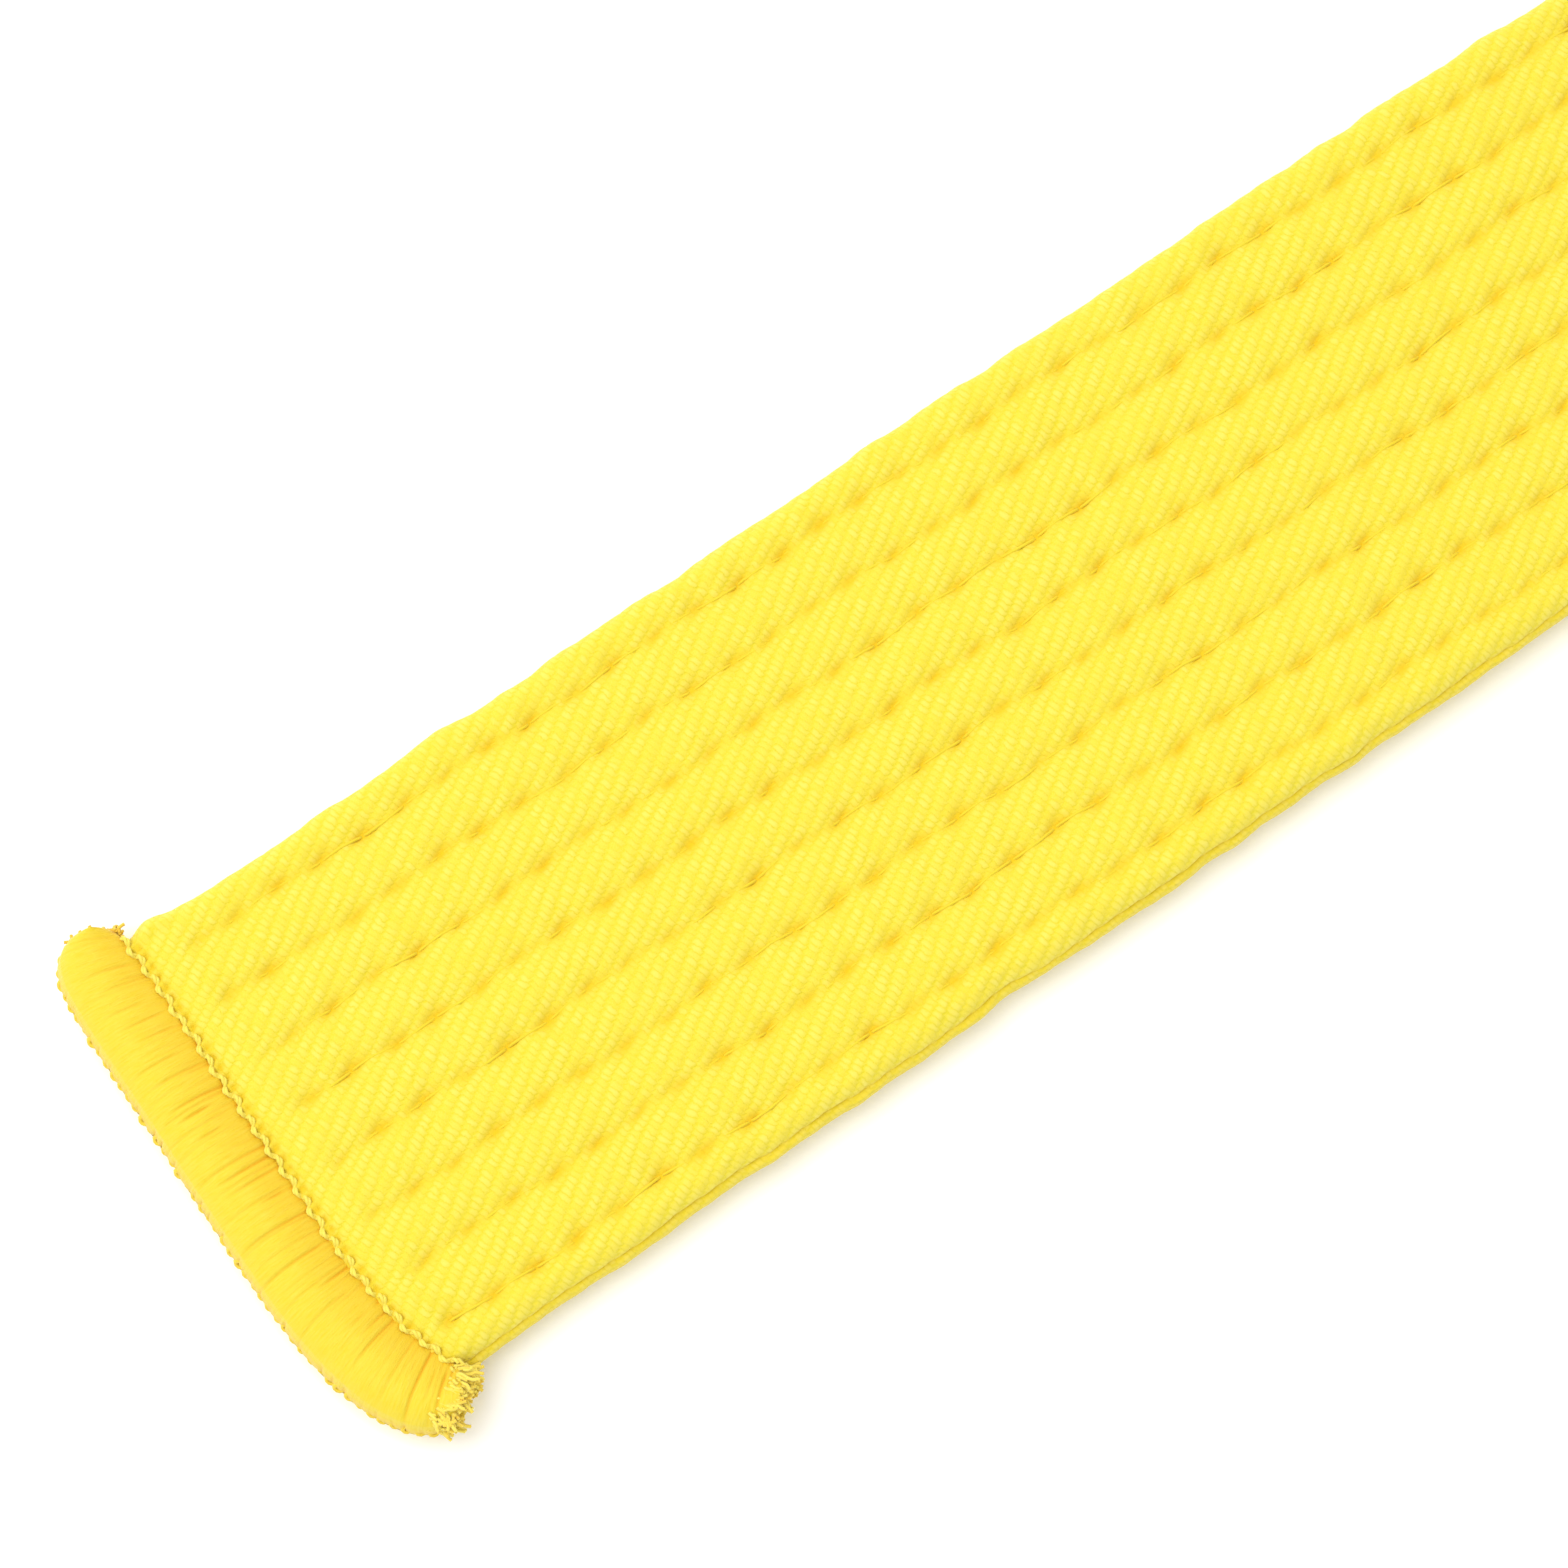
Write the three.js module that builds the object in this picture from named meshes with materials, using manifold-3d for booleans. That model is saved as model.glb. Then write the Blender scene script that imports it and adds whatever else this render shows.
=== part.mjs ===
// Martial arts belt: a flat quilted cotton belt with overlocked ends.
//
// A twill cover is folded round two core plies and sewn through with parallel rows of
// lockstitch.  Each cut end is bound with an overlock wrap.  One end lies out flat as a
// tail, and the rest is rolled up behind it, with the other end free inside the roll.
//
// X runs along the tail towards the roll, Y across the belt, Z up.  The belt lies on
// Z = 0, and the origin is under the middle of its outer box.
//
// Cloth bends anywhere.  One hinge across the tail stands for that, so each strip is
// divided there into a tail part and the part that runs on into the roll.  The cover is
// divided once more where its flat run goes up into the roll.

import * as THREE from 'three';
import { mergeVertices } from 'three/addons/utils/BufferGeometryUtils.js';
import Module from 'manifold-3d';

const wasm = await Module();
wasm.setup();

// ---------------------------------------------------------------- driving dimensions

const BELT_LENGTH = 2600;
const BELT_WIDTH = 40;

// Thickness, from the middle outwards.
const PLY_THICKNESS = 0.7;
const PLY_COUNT = 2;
const PLY_CLEARANCE = 0.2;
const CLOTH_THICKNESS = 0.6;
const THREAD_CLEARANCE = 0.2;
const THREAD_HEIGHT = 0.45;
const THREAD_WIDTH = 0.6;
const THREAD_COVERED_BY = 0.05;

// Section of the folded cover.
const EDGE_FOLD_CLOTH = 0.9;
const EDGE_ROUND = 0.9;
const EDGE_FLAT = 2.4;
const BEAD_SLOPE = 0.7;
const COVER_SLIT = 0.3;

// Lockstitch rows.
const ROW_COUNT = 8;
const FIRST_ROW_INSET = 3.2;

// Lay of the belt: the flat tail, then the roll.
const TAIL_LENGTH = 230;
const ROLL_INNER_RADIUS = 34;
const ROLL_TURN_GAP = 0.3;
const ROLL_SIDES = 12;
const CURL_RADIUS = 22;
const CURL_STEPS = 3;
const INNER_RUN = 18;

// Where the tail bends, measured from the flat end.
const BEND_LINE = 95;
const BEND_GAP = 0.3;

// Overlock wrap of each end.
const WRAP_WIDTH = 6.5;
const WRAP_SIDE_OVERHANG = 2.6;
const WRAP_CORNER_OVERHANG = 3.6;
const WRAP_CROWN = 0.4;
const WRAP_EDGE_ROUND = 1.1;
const WRAP_EDGE_DROP = 1.2;
const WRAP_FIT = 0.3;
const TIP_INSET = 3.4;
const TIP_SIDE_TRIM = 0.4;
const NEEDLE_LINE_SWING = 2;
const ROW_END_GAP = 0.5;
const LOOSE_END_RADIUS = 0.5;
const LOOSE_END_LENGTH = 3;

// ---------------------------------------------------------------- worked-out sizes

const halfWidth = BELT_WIDTH / 2;
const cavityHalf = (PLY_COUNT * PLY_THICKNESS + (PLY_COUNT + 1) * PLY_CLEARANCE) / 2;
const fieldHalf = cavityHalf + CLOTH_THICKNESS;
const halfThickness = fieldHalf + THREAD_CLEARANCE + THREAD_HEIGHT + THREAD_COVERED_BY;
const cavityEdge = halfWidth - EDGE_FOLD_CLOTH;
const needleLine = WRAP_WIDTH + WRAP_FIT + THREAD_WIDTH / 2;
const rowStart = needleLine + NEEDLE_LINE_SWING + THREAD_WIDTH / 2 + ROW_END_GAP;
const fieldInset = FIRST_ROW_INSET - THREAD_WIDTH / 2 - THREAD_CLEARANCE;
const rowSpacing = (BELT_WIDTH - 2 * FIRST_ROW_INSET) / (ROW_COUNT - 1);

// The roll winds inwards from the end of the tail by one pitch a turn.  Every turn has
// its corners on the same spokes, so neighbouring turns stay parallel.
const rollPitch = 2 * halfThickness + ROLL_TURN_GAP;
const rollStep = (2 * Math.PI) / ROLL_SIDES;
const curlLength = CURL_RADIUS * CURL_STEPS * rollStep;
const rolledLength = BELT_LENGTH - TAIL_LENGTH - curlLength - INNER_RUN;
const growth = rollPitch / (2 * Math.PI);
const wantedAngle = (Math.sqrt(ROLL_INNER_RADIUS ** 2 + 2 * growth * rolledLength)
  - ROLL_INNER_RADIUS) / growth;

// A whole number of steps holds the rolled length, with the radius that makes it fit.
const rollSteps = Math.round(wantedAngle / rollStep);
const rollAngle = rollSteps * rollStep;
const rollInnerRadius = rolledLength / rollAngle - 0.5 * growth * rollAngle;
const rollOuterRadius = rollInnerRadius + growth * rollAngle;

// ---------------------------------------------------------------- materials

function cloth(color, roughness) {
  return new THREE.MeshStandardMaterial({ color, roughness, metalness: 0 });
}

const coverTwill = () => cloth(0xffe83c, 0.9);
const coreCotton = () => cloth(0xf1ead6, 0.95);
const sewingThread = () => cloth(0xf7cf2e, 0.7);
const wrapThread = () => cloth(0xfbdc3a, 0.65);

// ---------------------------------------------------------------- solids

function toManifold(geometry) {
  const bare = geometry.clone();
  bare.deleteAttribute('normal');
  bare.deleteAttribute('uv');
  const merged = mergeVertices(bare, 1e-3);
  return new wasm.Manifold(new wasm.Mesh({
    numProp: 3,
    vertProperties: new Float32Array(merged.attributes.position.array),
    triVerts: new Uint32Array(merged.index.array),
  }));
}

function toGeometry(solid) {
  const mesh = solid.getMesh();
  const geometry = new THREE.BufferGeometry();
  geometry.setAttribute('position', new THREE.BufferAttribute(mesh.vertProperties, 3));
  geometry.setIndex(new THREE.BufferAttribute(mesh.triVerts, 1));
  geometry.computeVertexNormals();
  return geometry;
}

function boxBetween(low, high) {
  const size = high.map((value, axis) => value - low[axis]);
  const geometry = new THREE.BoxGeometry(...size);
  geometry.translate(...high.map((value, axis) => (value + low[axis]) / 2));
  return geometry;
}

function named(name, geometry, material) {
  const mesh = new THREE.Mesh(geometry, material);
  mesh.name = name;
  return mesh;
}

// ---------------------------------------------------------------- centre line

// A path given by its stations.  Each station has the middle of the belt's section and
// the direction in which the belt runs there.
class StationPath extends THREE.Curve {
  constructor(stations) {
    super();
    this.stations = stations;
  }

  at(u) {
    return this.stations[Math.round(u * (this.stations.length - 1))];
  }

  getPointAt(u) {
    return this.at(u).point.clone();
  }

  getTangentAt(u) {
    return this.at(u).direction.clone();
  }
}

function tailStation(x) {
  return {
    point: new THREE.Vector3(x, 0, halfThickness),
    direction: new THREE.Vector3(1, 0, 0),
  };
}

function rollStation(step) {
  const turned = step * rollStep;
  const radius = rollOuterRadius - growth * turned;
  const centreHeight = halfThickness + rollOuterRadius;
  return {
    point: new THREE.Vector3(
      TAIL_LENGTH + radius * Math.sin(turned),
      0,
      centreHeight - radius * Math.cos(turned),
    ),
    direction: new THREE.Vector3(Math.cos(turned), 0, Math.sin(turned)),
  };
}

// The inner end curls away from the innermost turn, so that its wrap clears it.
function curlStation(step) {
  const last = rollStation(rollSteps);
  const turned = rollAngle + step * rollStep;
  return {
    point: new THREE.Vector3(
      last.point.x + CURL_RADIUS * (Math.sin(turned) - Math.sin(rollAngle)),
      0,
      last.point.z - CURL_RADIUS * (Math.cos(turned) - Math.cos(rollAngle)),
    ),
    direction: new THREE.Vector3(Math.cos(turned), 0, Math.sin(turned)),
  };
}

// The last stretch is straight.
function innerStation(distanceFromEnd) {
  const last = curlStation(CURL_STEPS);
  const along = INNER_RUN - distanceFromEnd;
  return {
    point: last.point.clone().addScaledVector(last.direction, along),
    direction: last.direction,
  };
}

// Both ends of a strip are given as distances from the belt's own ends.
function tailPath(start) {
  return new StationPath([tailStation(start), tailStation(BEND_LINE - BEND_GAP / 2)]);
}

function flatRunPath() {
  return new StationPath([
    tailStation(BEND_LINE + BEND_GAP / 2),
    tailStation(TAIL_LENGTH - BEND_GAP),
  ]);
}

function rollPath(start) {
  const stations = [];
  for (let step = 0; step <= rollSteps; step += 1) {
    stations.push(rollStation(step));
  }
  for (let step = 1; step <= CURL_STEPS; step += 1) {
    stations.push(curlStation(step));
  }
  stations.push(innerStation(start));
  return new StationPath(stations);
}

function flatRunAndRollPath(start) {
  const beyondBend = tailStation(BEND_LINE + BEND_GAP / 2);
  return new StationPath([beyondBend, ...rollPath(start).stations]);
}

// A section is given across the belt and upwards from its middle.  Along this path the
// sweep's first axis starts out downwards and its second axis is across the belt.
function sweep(section, path) {
  const shape = new THREE.Shape(section.map(([across, up]) => new THREE.Vector2(-up, across)));
  return new THREE.ExtrudeGeometry(shape, {
    steps: path.stations.length - 1,
    extrudePath: path,
    bevelEnabled: false,
  });
}

// ---------------------------------------------------------------- sections

// The cover is one strip folded round the core.  Its two long edges meet in a slit on
// the -Y side.  The folded edges stand proud as beads, and the sewn field lies lower.
function coverSection() {
  const bead = [
    [halfWidth, EDGE_FLAT / 2],
    [halfWidth - EDGE_ROUND, halfThickness],
    [halfWidth - fieldInset + BEAD_SLOPE, halfThickness],
    [halfWidth - fieldInset, fieldHalf],
  ];
  const flipped = (across, up) => bead.map(([y, z]) => [across * y, up * z]);
  return [
    [-halfWidth, COVER_SLIT / 2],
    ...flipped(-1, 1),
    ...flipped(1, 1).reverse(),
    ...flipped(1, -1),
    ...flipped(-1, -1).reverse(),
    [-halfWidth, -COVER_SLIT / 2],
    [-cavityEdge, -COVER_SLIT / 2],
    [-cavityEdge, -cavityHalf],
    [cavityEdge, -cavityHalf],
    [cavityEdge, cavityHalf],
    [-cavityEdge, cavityHalf],
    [-cavityEdge, COVER_SLIT / 2],
  ];
}

function plySection(ply) {
  const low = -cavityHalf + PLY_CLEARANCE + ply * (PLY_THICKNESS + PLY_CLEARANCE);
  const high = low + PLY_THICKNESS;
  const edge = cavityEdge - PLY_CLEARANCE;
  return [[-edge, low], [edge, low], [edge, high], [-edge, high]];
}

// A sewing thread, as a narrow ridge lying on the field: side 1 is up, side -1 down.
function threadSection(row, side) {
  const across = halfWidth - FIRST_ROW_INSET - row * rowSpacing;
  const foot = side * (fieldHalf + THREAD_CLEARANCE);
  const crest = foot + side * THREAD_HEIGHT;
  return [
    [across - THREAD_WIDTH / 2, foot],
    [across + THREAD_WIDTH / 2, foot],
    [across, crest],
  ];
}

// ---------------------------------------------------------------- overlocked end

// An end is built in a frame of its own: x from the outermost thread in towards the
// belt, y across and z up from the middle of the belt's thickness.

// Plan of the wrap.  It is straight along the cut and sweeps round the -Y corner, where
// the machine ran off the belt.  The plan grows by `margin` all round.
function wrapPlan(margin) {
  const top = halfWidth + WRAP_SIDE_OVERHANG;
  const bottom = -halfWidth;
  const low = bottom - WRAP_CORNER_OVERHANG;
  const outer = [
    [WRAP_WIDTH - 2.3, top - 0.2 + margin],
    [2.6, top + margin],
    [1.0 - margin / 2, top - 0.9 + margin / 2],
    [-margin, top - 3.2],
    [-margin, bottom + 11],
    [0.5 - margin, bottom + 6.5],
    [1.6 - margin, bottom + 1.6 - margin / 2],
    [3.4 - margin, low + 1.8 - margin],
    [WRAP_WIDTH - 0.9, low - margin],
    [WRAP_WIDTH + 1.7 + margin, low + 0.7 - margin],
    [WRAP_WIDTH + 3.7 + margin, low + 2 - margin / 2],
  ];
  const inner = [
    [WRAP_WIDTH + 2.9 + margin, bottom - 0.4],
    [WRAP_WIDTH + 1.7 + margin, bottom + 2.2],
    [WRAP_WIDTH + 0.8 + margin, bottom + 6],
    [WRAP_WIDTH + 0.2 + margin, bottom + 12],
    [WRAP_WIDTH + margin, top - 4.2],
    [WRAP_WIDTH - 0.3 + margin, top - 2.2 + margin / 2],
    [WRAP_WIDTH - 1.0 + margin, top - 1.2 + margin],
  ];
  return new THREE.Shape([...outer, ...inner].map(([x, y]) => new THREE.Vector2(x, y)));
}

function tipBox(margin, reach) {
  const across = halfWidth - TIP_SIDE_TRIM + margin;
  const up = fieldHalf + margin;
  return boxBetween([TIP_INSET - margin, -across, -up], [reach, across, up]);
}

const wrapReach = WRAP_WIDTH + 6;

// The wrap hugs the belt's tip, which is trimmed to the height of its field.
function wrapBody() {
  const depth = 2 * halfThickness + WRAP_CROWN - 2 * WRAP_EDGE_DROP;
  const body = new THREE.ExtrudeGeometry(wrapPlan(0), {
    depth,
    bevelThickness: WRAP_EDGE_DROP,
    bevelSize: WRAP_EDGE_ROUND,
    bevelOffset: -WRAP_EDGE_ROUND,
    bevelSegments: 3,
    steps: 1,
  });
  body.translate(0, 0, -halfThickness + WRAP_EDGE_DROP);
  return toManifold(body).subtract(toManifold(tipBox(WRAP_FIT, wrapReach)));
}

// The upper looper's threads cover the face, the lower looper's the back, and they lock
// along the outer edge at the middle of the thickness.
function wrapHalf(side) {
  const far = 4 * halfThickness;
  const low = side > 0 ? -far : -WRAP_FIT / 2;
  const high = side > 0 ? WRAP_FIT / 2 : far;
  const away = boxBetween([-far, -BELT_WIDTH, low], [wrapReach + far, BELT_WIDTH, high]);
  return toGeometry(wrapBody().subtract(toManifold(away)));
}

// What the wrap takes off the cover: all of the plan except the trimmed tip.  It stands
// just proud of the belt, and so stops short of the next turn of the roll.
function tipCutter() {
  const tall = halfThickness + ROLL_TURN_GAP / 2;
  const plan = new THREE.ExtrudeGeometry(wrapPlan(WRAP_FIT), {
    depth: 2 * tall,
    bevelEnabled: false,
  });
  plan.translate(0, 0, -tall);
  return toManifold(plan).subtract(toManifold(tipBox(0, wrapReach)));
}

// The overlock needle's thread runs along the face, just inside the wrap.
function wrapNeedleThread() {
  const up = fieldHalf + THREAD_CLEARANCE + THREAD_HEIGHT / 2;
  const reach = halfWidth - fieldInset - THREAD_CLEARANCE - THREAD_WIDTH / 2;
  const path = new THREE.CatmullRomCurve3([
    new THREE.Vector3(needleLine, reach, up),
    new THREE.Vector3(needleLine, 0, up),
    new THREE.Vector3(needleLine + 0.2 * NEEDLE_LINE_SWING, -halfWidth + 10, up),
    new THREE.Vector3(needleLine + 0.65 * NEEDLE_LINE_SWING, -halfWidth + 5, up),
    new THREE.Vector3(needleLine + NEEDLE_LINE_SWING, -reach, up),
  ]);
  const section = new THREE.Shape();
  section.absellipse(0, 0, THREAD_HEIGHT / 2, THREAD_HEIGHT / 2, 0, 2 * Math.PI);
  return new THREE.ExtrudeGeometry(section, {
    steps: 12,
    curveSegments: 3,
    extrudePath: path,
    bevelEnabled: false,
  });
}

// The tails of the wrap's threads, cut short at each corner of the end.
function looseEnd(x, y) {
  const tuft = new THREE.CylinderGeometry(
    LOOSE_END_RADIUS / 2,
    LOOSE_END_RADIUS,
    LOOSE_END_LENGTH,
    6,
  );
  tuft.rotateZ(-Math.PI / 2);
  tuft.translate(x + LOOSE_END_LENGTH / 2, y, 0);
  return tuft;
}

function overlockedEnd(end) {
  const group = new THREE.Group();
  const plusY = halfWidth + WRAP_FIT + LOOSE_END_RADIUS;
  const minusY = -halfWidth - WRAP_SIDE_OVERHANG + LOOSE_END_RADIUS;
  group.add(named(`${end}_wrap_upper_looper`, wrapHalf(1), wrapThread()));
  group.add(named(`${end}_wrap_lower_looper`, wrapHalf(-1), wrapThread()));
  group.add(named(`${end}_wrap_needle_thread`, wrapNeedleThread(), sewingThread()));
  group.add(named(`${end}_thread_tail_left`, looseEnd(WRAP_WIDTH + 1, plusY), wrapThread()));
  group.add(named(`${end}_thread_tail_right`, looseEnd(WRAP_WIDTH + 4.2, minusY), wrapThread()));
  return group;
}

// ---------------------------------------------------------------- assembly

const flatEnd = overlockedEnd('flat_end');
flatEnd.position.set(0, 0, halfThickness);

// The inner end faces back along the belt.
const innerTip = innerStation(0);
const innerEnd = overlockedEnd('inner_end');
innerEnd.position.copy(innerTip.point);
innerEnd.rotation.y = Math.atan2(innerTip.direction.z, -innerTip.direction.x);

function trimmedAt(group, geometry) {
  group.updateMatrix();
  const cutter = toGeometry(tipCutter()).applyMatrix4(group.matrix);
  return toGeometry(toManifold(geometry).subtract(toManifold(cutter)));
}

const belt = new THREE.Group();
belt.add(flatEnd);
belt.add(innerEnd);

const cover = coverSection();
const coverTail = trimmedAt(flatEnd, sweep(cover, tailPath(TIP_INSET)));
const coverRolled = trimmedAt(innerEnd, sweep(cover, rollPath(TIP_INSET)));
belt.add(named('cover_tail', coverTail, coverTwill()));
belt.add(named('cover_flat_run', sweep(cover, flatRunPath()), coverTwill()));
belt.add(named('cover_rolled', coverRolled, coverTwill()));

function addStrip(name, section, start, material) {
  belt.add(named(`${name}_tail`, sweep(section, tailPath(start)), material()));
  belt.add(named(`${name}_rolled`, sweep(section, flatRunAndRollPath(start)), material()));
}

for (let ply = 0; ply < PLY_COUNT; ply += 1) {
  addStrip(`core_ply_${ply + 1}`, plySection(ply), TIP_INSET, coreCotton);
}

for (let row = 0; row < ROW_COUNT; row += 1) {
  addStrip(`needle_thread_${row + 1}`, threadSection(row, 1), rowStart, sewingThread);
  addStrip(`bobbin_thread_${row + 1}`, threadSection(row, -1), rowStart, sewingThread);
}

// The roll reaches furthest from the flat end a quarter of a turn round, and the wraps
// reach furthest to each side.
const rollReach = TAIL_LENGTH + rollOuterRadius - rollPitch / 4 + halfThickness;
belt.position.x = -rollReach / 2;
belt.position.y = (WRAP_CORNER_OVERHANG - WRAP_SIDE_OVERHANG) / 2;

const object = new THREE.Group();
object.add(belt);

export default object;
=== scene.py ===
# Martial arts belt: the looks of a flat quilted cotton belt with overlocked ends, built
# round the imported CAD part.  One end lies flat, the rest is rolled up behind it.

import math

import bpy
import numpy as np
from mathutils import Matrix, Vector


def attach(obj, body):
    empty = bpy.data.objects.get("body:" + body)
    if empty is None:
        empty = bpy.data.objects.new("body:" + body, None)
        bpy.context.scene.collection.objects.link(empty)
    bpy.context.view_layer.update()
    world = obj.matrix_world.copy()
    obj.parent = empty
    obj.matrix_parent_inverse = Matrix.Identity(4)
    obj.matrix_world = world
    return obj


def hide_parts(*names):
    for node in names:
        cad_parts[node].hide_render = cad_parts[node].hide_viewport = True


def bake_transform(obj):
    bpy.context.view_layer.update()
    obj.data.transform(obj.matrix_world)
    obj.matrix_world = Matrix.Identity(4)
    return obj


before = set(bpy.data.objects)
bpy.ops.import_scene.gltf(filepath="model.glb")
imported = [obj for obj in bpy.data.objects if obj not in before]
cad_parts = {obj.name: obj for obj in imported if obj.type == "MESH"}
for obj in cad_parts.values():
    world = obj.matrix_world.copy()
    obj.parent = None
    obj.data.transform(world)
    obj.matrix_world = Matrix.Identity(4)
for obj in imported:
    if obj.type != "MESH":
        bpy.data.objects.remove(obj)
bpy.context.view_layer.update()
scene = bpy.context.scene


# ---------------------------------------------------------------- table, light and camera
# The belt lies on a plain white table under broad soft studio light, and is seen from
# steeply above its flat end.


def shown(name, data):
    """Puts a mesh, a light or a camera in the scene, as an object at the origin."""
    made = bpy.data.objects.new(name, data)
    scene.collection.objects.link(made)
    return made


def matt_material(name, roughness, specular):
    """A new material, with its node tree and its shader."""
    material = bpy.data.materials.new(name)
    material.use_nodes = True
    shader = material.node_tree.nodes["Principled BSDF"]
    shader.inputs["Roughness"].default_value = roughness
    shader.inputs["Specular IOR Level"].default_value = specular
    return material, material.node_tree, shader


AIM = Vector((-0.09695, 0.0034, 0.0))
VIEW_ELEVATION = math.radians(78.3)
VIEW_HEADING = math.radians(55.4)
VIEW_DISTANCE = 0.310

sight = Vector((
    math.cos(VIEW_ELEVATION) * math.cos(VIEW_HEADING),
    math.cos(VIEW_ELEVATION) * math.sin(VIEW_HEADING),
    -math.sin(VIEW_ELEVATION),
))
camera_data = bpy.data.cameras.new("camera")
camera_data.sensor_width = 36.0
camera_data.lens = 95.2
camera_data.clip_start = 0.01
camera = shown("camera", camera_data)
camera.location = AIM - sight * VIEW_DISTANCE
camera.rotation_euler = sight.to_track_quat("-Z", "Y").to_euler()
scene.camera = camera
scene.view_settings.view_transform = "Standard"

table_material, _, table_shader = matt_material("white_table", 0.9, 0.1)
table_shader.inputs["Base Color"].default_value = (0.97, 0.97, 0.97, 1)
TABLE_HALF = 3.0
table_mesh = bpy.data.meshes.new("table")
table_mesh.from_pydata(
    [(x * TABLE_HALF, y * TABLE_HALF, 0.0) for x, y in ((-1, -1), (1, -1), (1, 1), (-1, 1))],
    [], [(0, 1, 2, 3)],
)
table_mesh.materials.append(table_material)
table = shown("table", table_mesh)

world = bpy.data.worlds.new("studio")
world.use_nodes = True
world.node_tree.nodes["Background"].inputs["Color"].default_value = (1.0, 1.0, 1.0, 1)
world.node_tree.nodes["Background"].inputs["Strength"].default_value = 1.02
scene.world = world


def soft_light(name, place, size, power):
    data = bpy.data.lights.new(name, "AREA")
    data.shape = "DISK"
    data.size = size
    data.energy = power
    light = shown(name, data)
    light.location = place
    light.rotation_euler = (AIM - Vector(place)).to_track_quat("-Z", "Y").to_euler()


soft_light("key_light", (-0.30, 0.42, 0.85), 1.0, 5.4)


# ---------------------------------------------------------------- cover
# The cover is one strip of 3/1 cotton twill, dyed lemon yellow.  It is folded round the
# core, so that its two long edges meet along the -Y side, and is quilted to the core by
# eight rows of lockstitch.  Lengths here are in millimetres, from the flat end's tip.

MM = 0.001
TO_ROW_X = -150.049
TO_ROW_Y = 0.5
HALF_THICK = 2.3
BELT_LENGTH = 2600.0
TAIL_LENGTH = 230.0
ROLL_RADIUS = 69.0233
ROLL_GROWTH = 4.9 / (2 * math.pi)
ROLL_ANGLE = math.radians(2580)
ROLL_RUN = ROLL_RADIUS * ROLL_ANGLE - ROLL_GROWTH * ROLL_ANGLE ** 2 / 2
CURL_RADIUS = 22.0
CURL_ANGLE = math.pi / 2


def lay_of(along):
    """Where the middle of the belt's thickness is, and how far the belt has turned."""
    rolled = np.clip(along - TAIL_LENGTH, 0, ROLL_RUN)
    turned = (ROLL_RADIUS - np.sqrt(ROLL_RADIUS ** 2 - 2 * ROLL_GROWTH * rolled)) / ROLL_GROWTH
    radius = ROLL_RADIUS - ROLL_GROWTH * turned
    x = np.minimum(along, TAIL_LENGTH) + radius * np.sin(turned)
    z = HALF_THICK + ROLL_RADIUS - radius * np.cos(turned)
    curled = np.clip(along - TAIL_LENGTH - ROLL_RUN, 0, CURL_RADIUS * CURL_ANGLE) / CURL_RADIUS
    x += CURL_RADIUS * (np.sin(turned + curled) - np.sin(turned))
    z -= CURL_RADIUS * (np.cos(turned + curled) - np.cos(turned))
    heading = turned + curled
    run = np.maximum(along - TAIL_LENGTH - ROLL_RUN - CURL_RADIUS * CURL_ANGLE, 0)
    return x + run * np.cos(heading) + TO_ROW_X, z + run * np.sin(heading), heading


def laid(along, across, up):
    """Points in the row's frame, from places along, across and up from the belt's middle."""
    x, z, heading = lay_of(along)
    return np.stack([
        x - up * np.sin(heading),
        across + TO_ROW_Y + 0 * x,
        z + up * np.cos(heading),
    ], axis=-1) * MM


def laid_section(along, section):
    """A section of places across and up, laid at each place along the belt."""
    shape = (len(along), len(section))
    return laid(np.broadcast_to(along[:, None], shape),
                np.broadcast_to(section[:, 0], shape),
                np.broadcast_to(section[:, 1], shape))


def unit(vectors):
    return vectors / np.linalg.norm(vectors, axis=-1, keepdims=True)


def run_along(path):
    """How far along a line of points each point is."""
    return np.concatenate([[0], np.cumsum(np.linalg.norm(np.diff(path, axis=0), axis=1))])


def point_values(mesh, label, values):
    """Stores a number, or a vector, for each point of a mesh."""
    values = np.asarray(values, np.float32)
    kind, field = ("FLOAT_VECTOR", "vector") if values.ndim == 2 else ("FLOAT", "value")
    mesh.attributes.new(label, kind, "POINT").data.foreach_set(field, values.ravel())


def shade_smooth(mesh):
    mesh.polygons.foreach_set("use_smooth", np.ones(len(mesh.polygons), bool))


# The quilting: rows, stitches, and how much each hole strays and pulls.
ROW_COUNT = 8
FIRST_ROW = 16.8
ROW_SPACING = 4.8
STITCH_LENGTH = 3.7
ROW_START = 9.9
MOST_HOLES = 760
HOLE_STRAY = 0.28
HOLE_FORCE_RANGE = (0.45, 1.25)
QUILTING_SEED = 20

dice = np.random.default_rng(QUILTING_SEED)
row_phase = dice.random((2, ROW_COUNT, 3))
hole_shift = dice.uniform(-HOLE_STRAY, HOLE_STRAY, (2, ROW_COUNT, MOST_HOLES))
hole_force = dice.uniform(*HOLE_FORCE_RANGE, (2, ROW_COUNT, MOST_HOLES))
noise_grid = dice.random((8, 97, 61))


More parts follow.
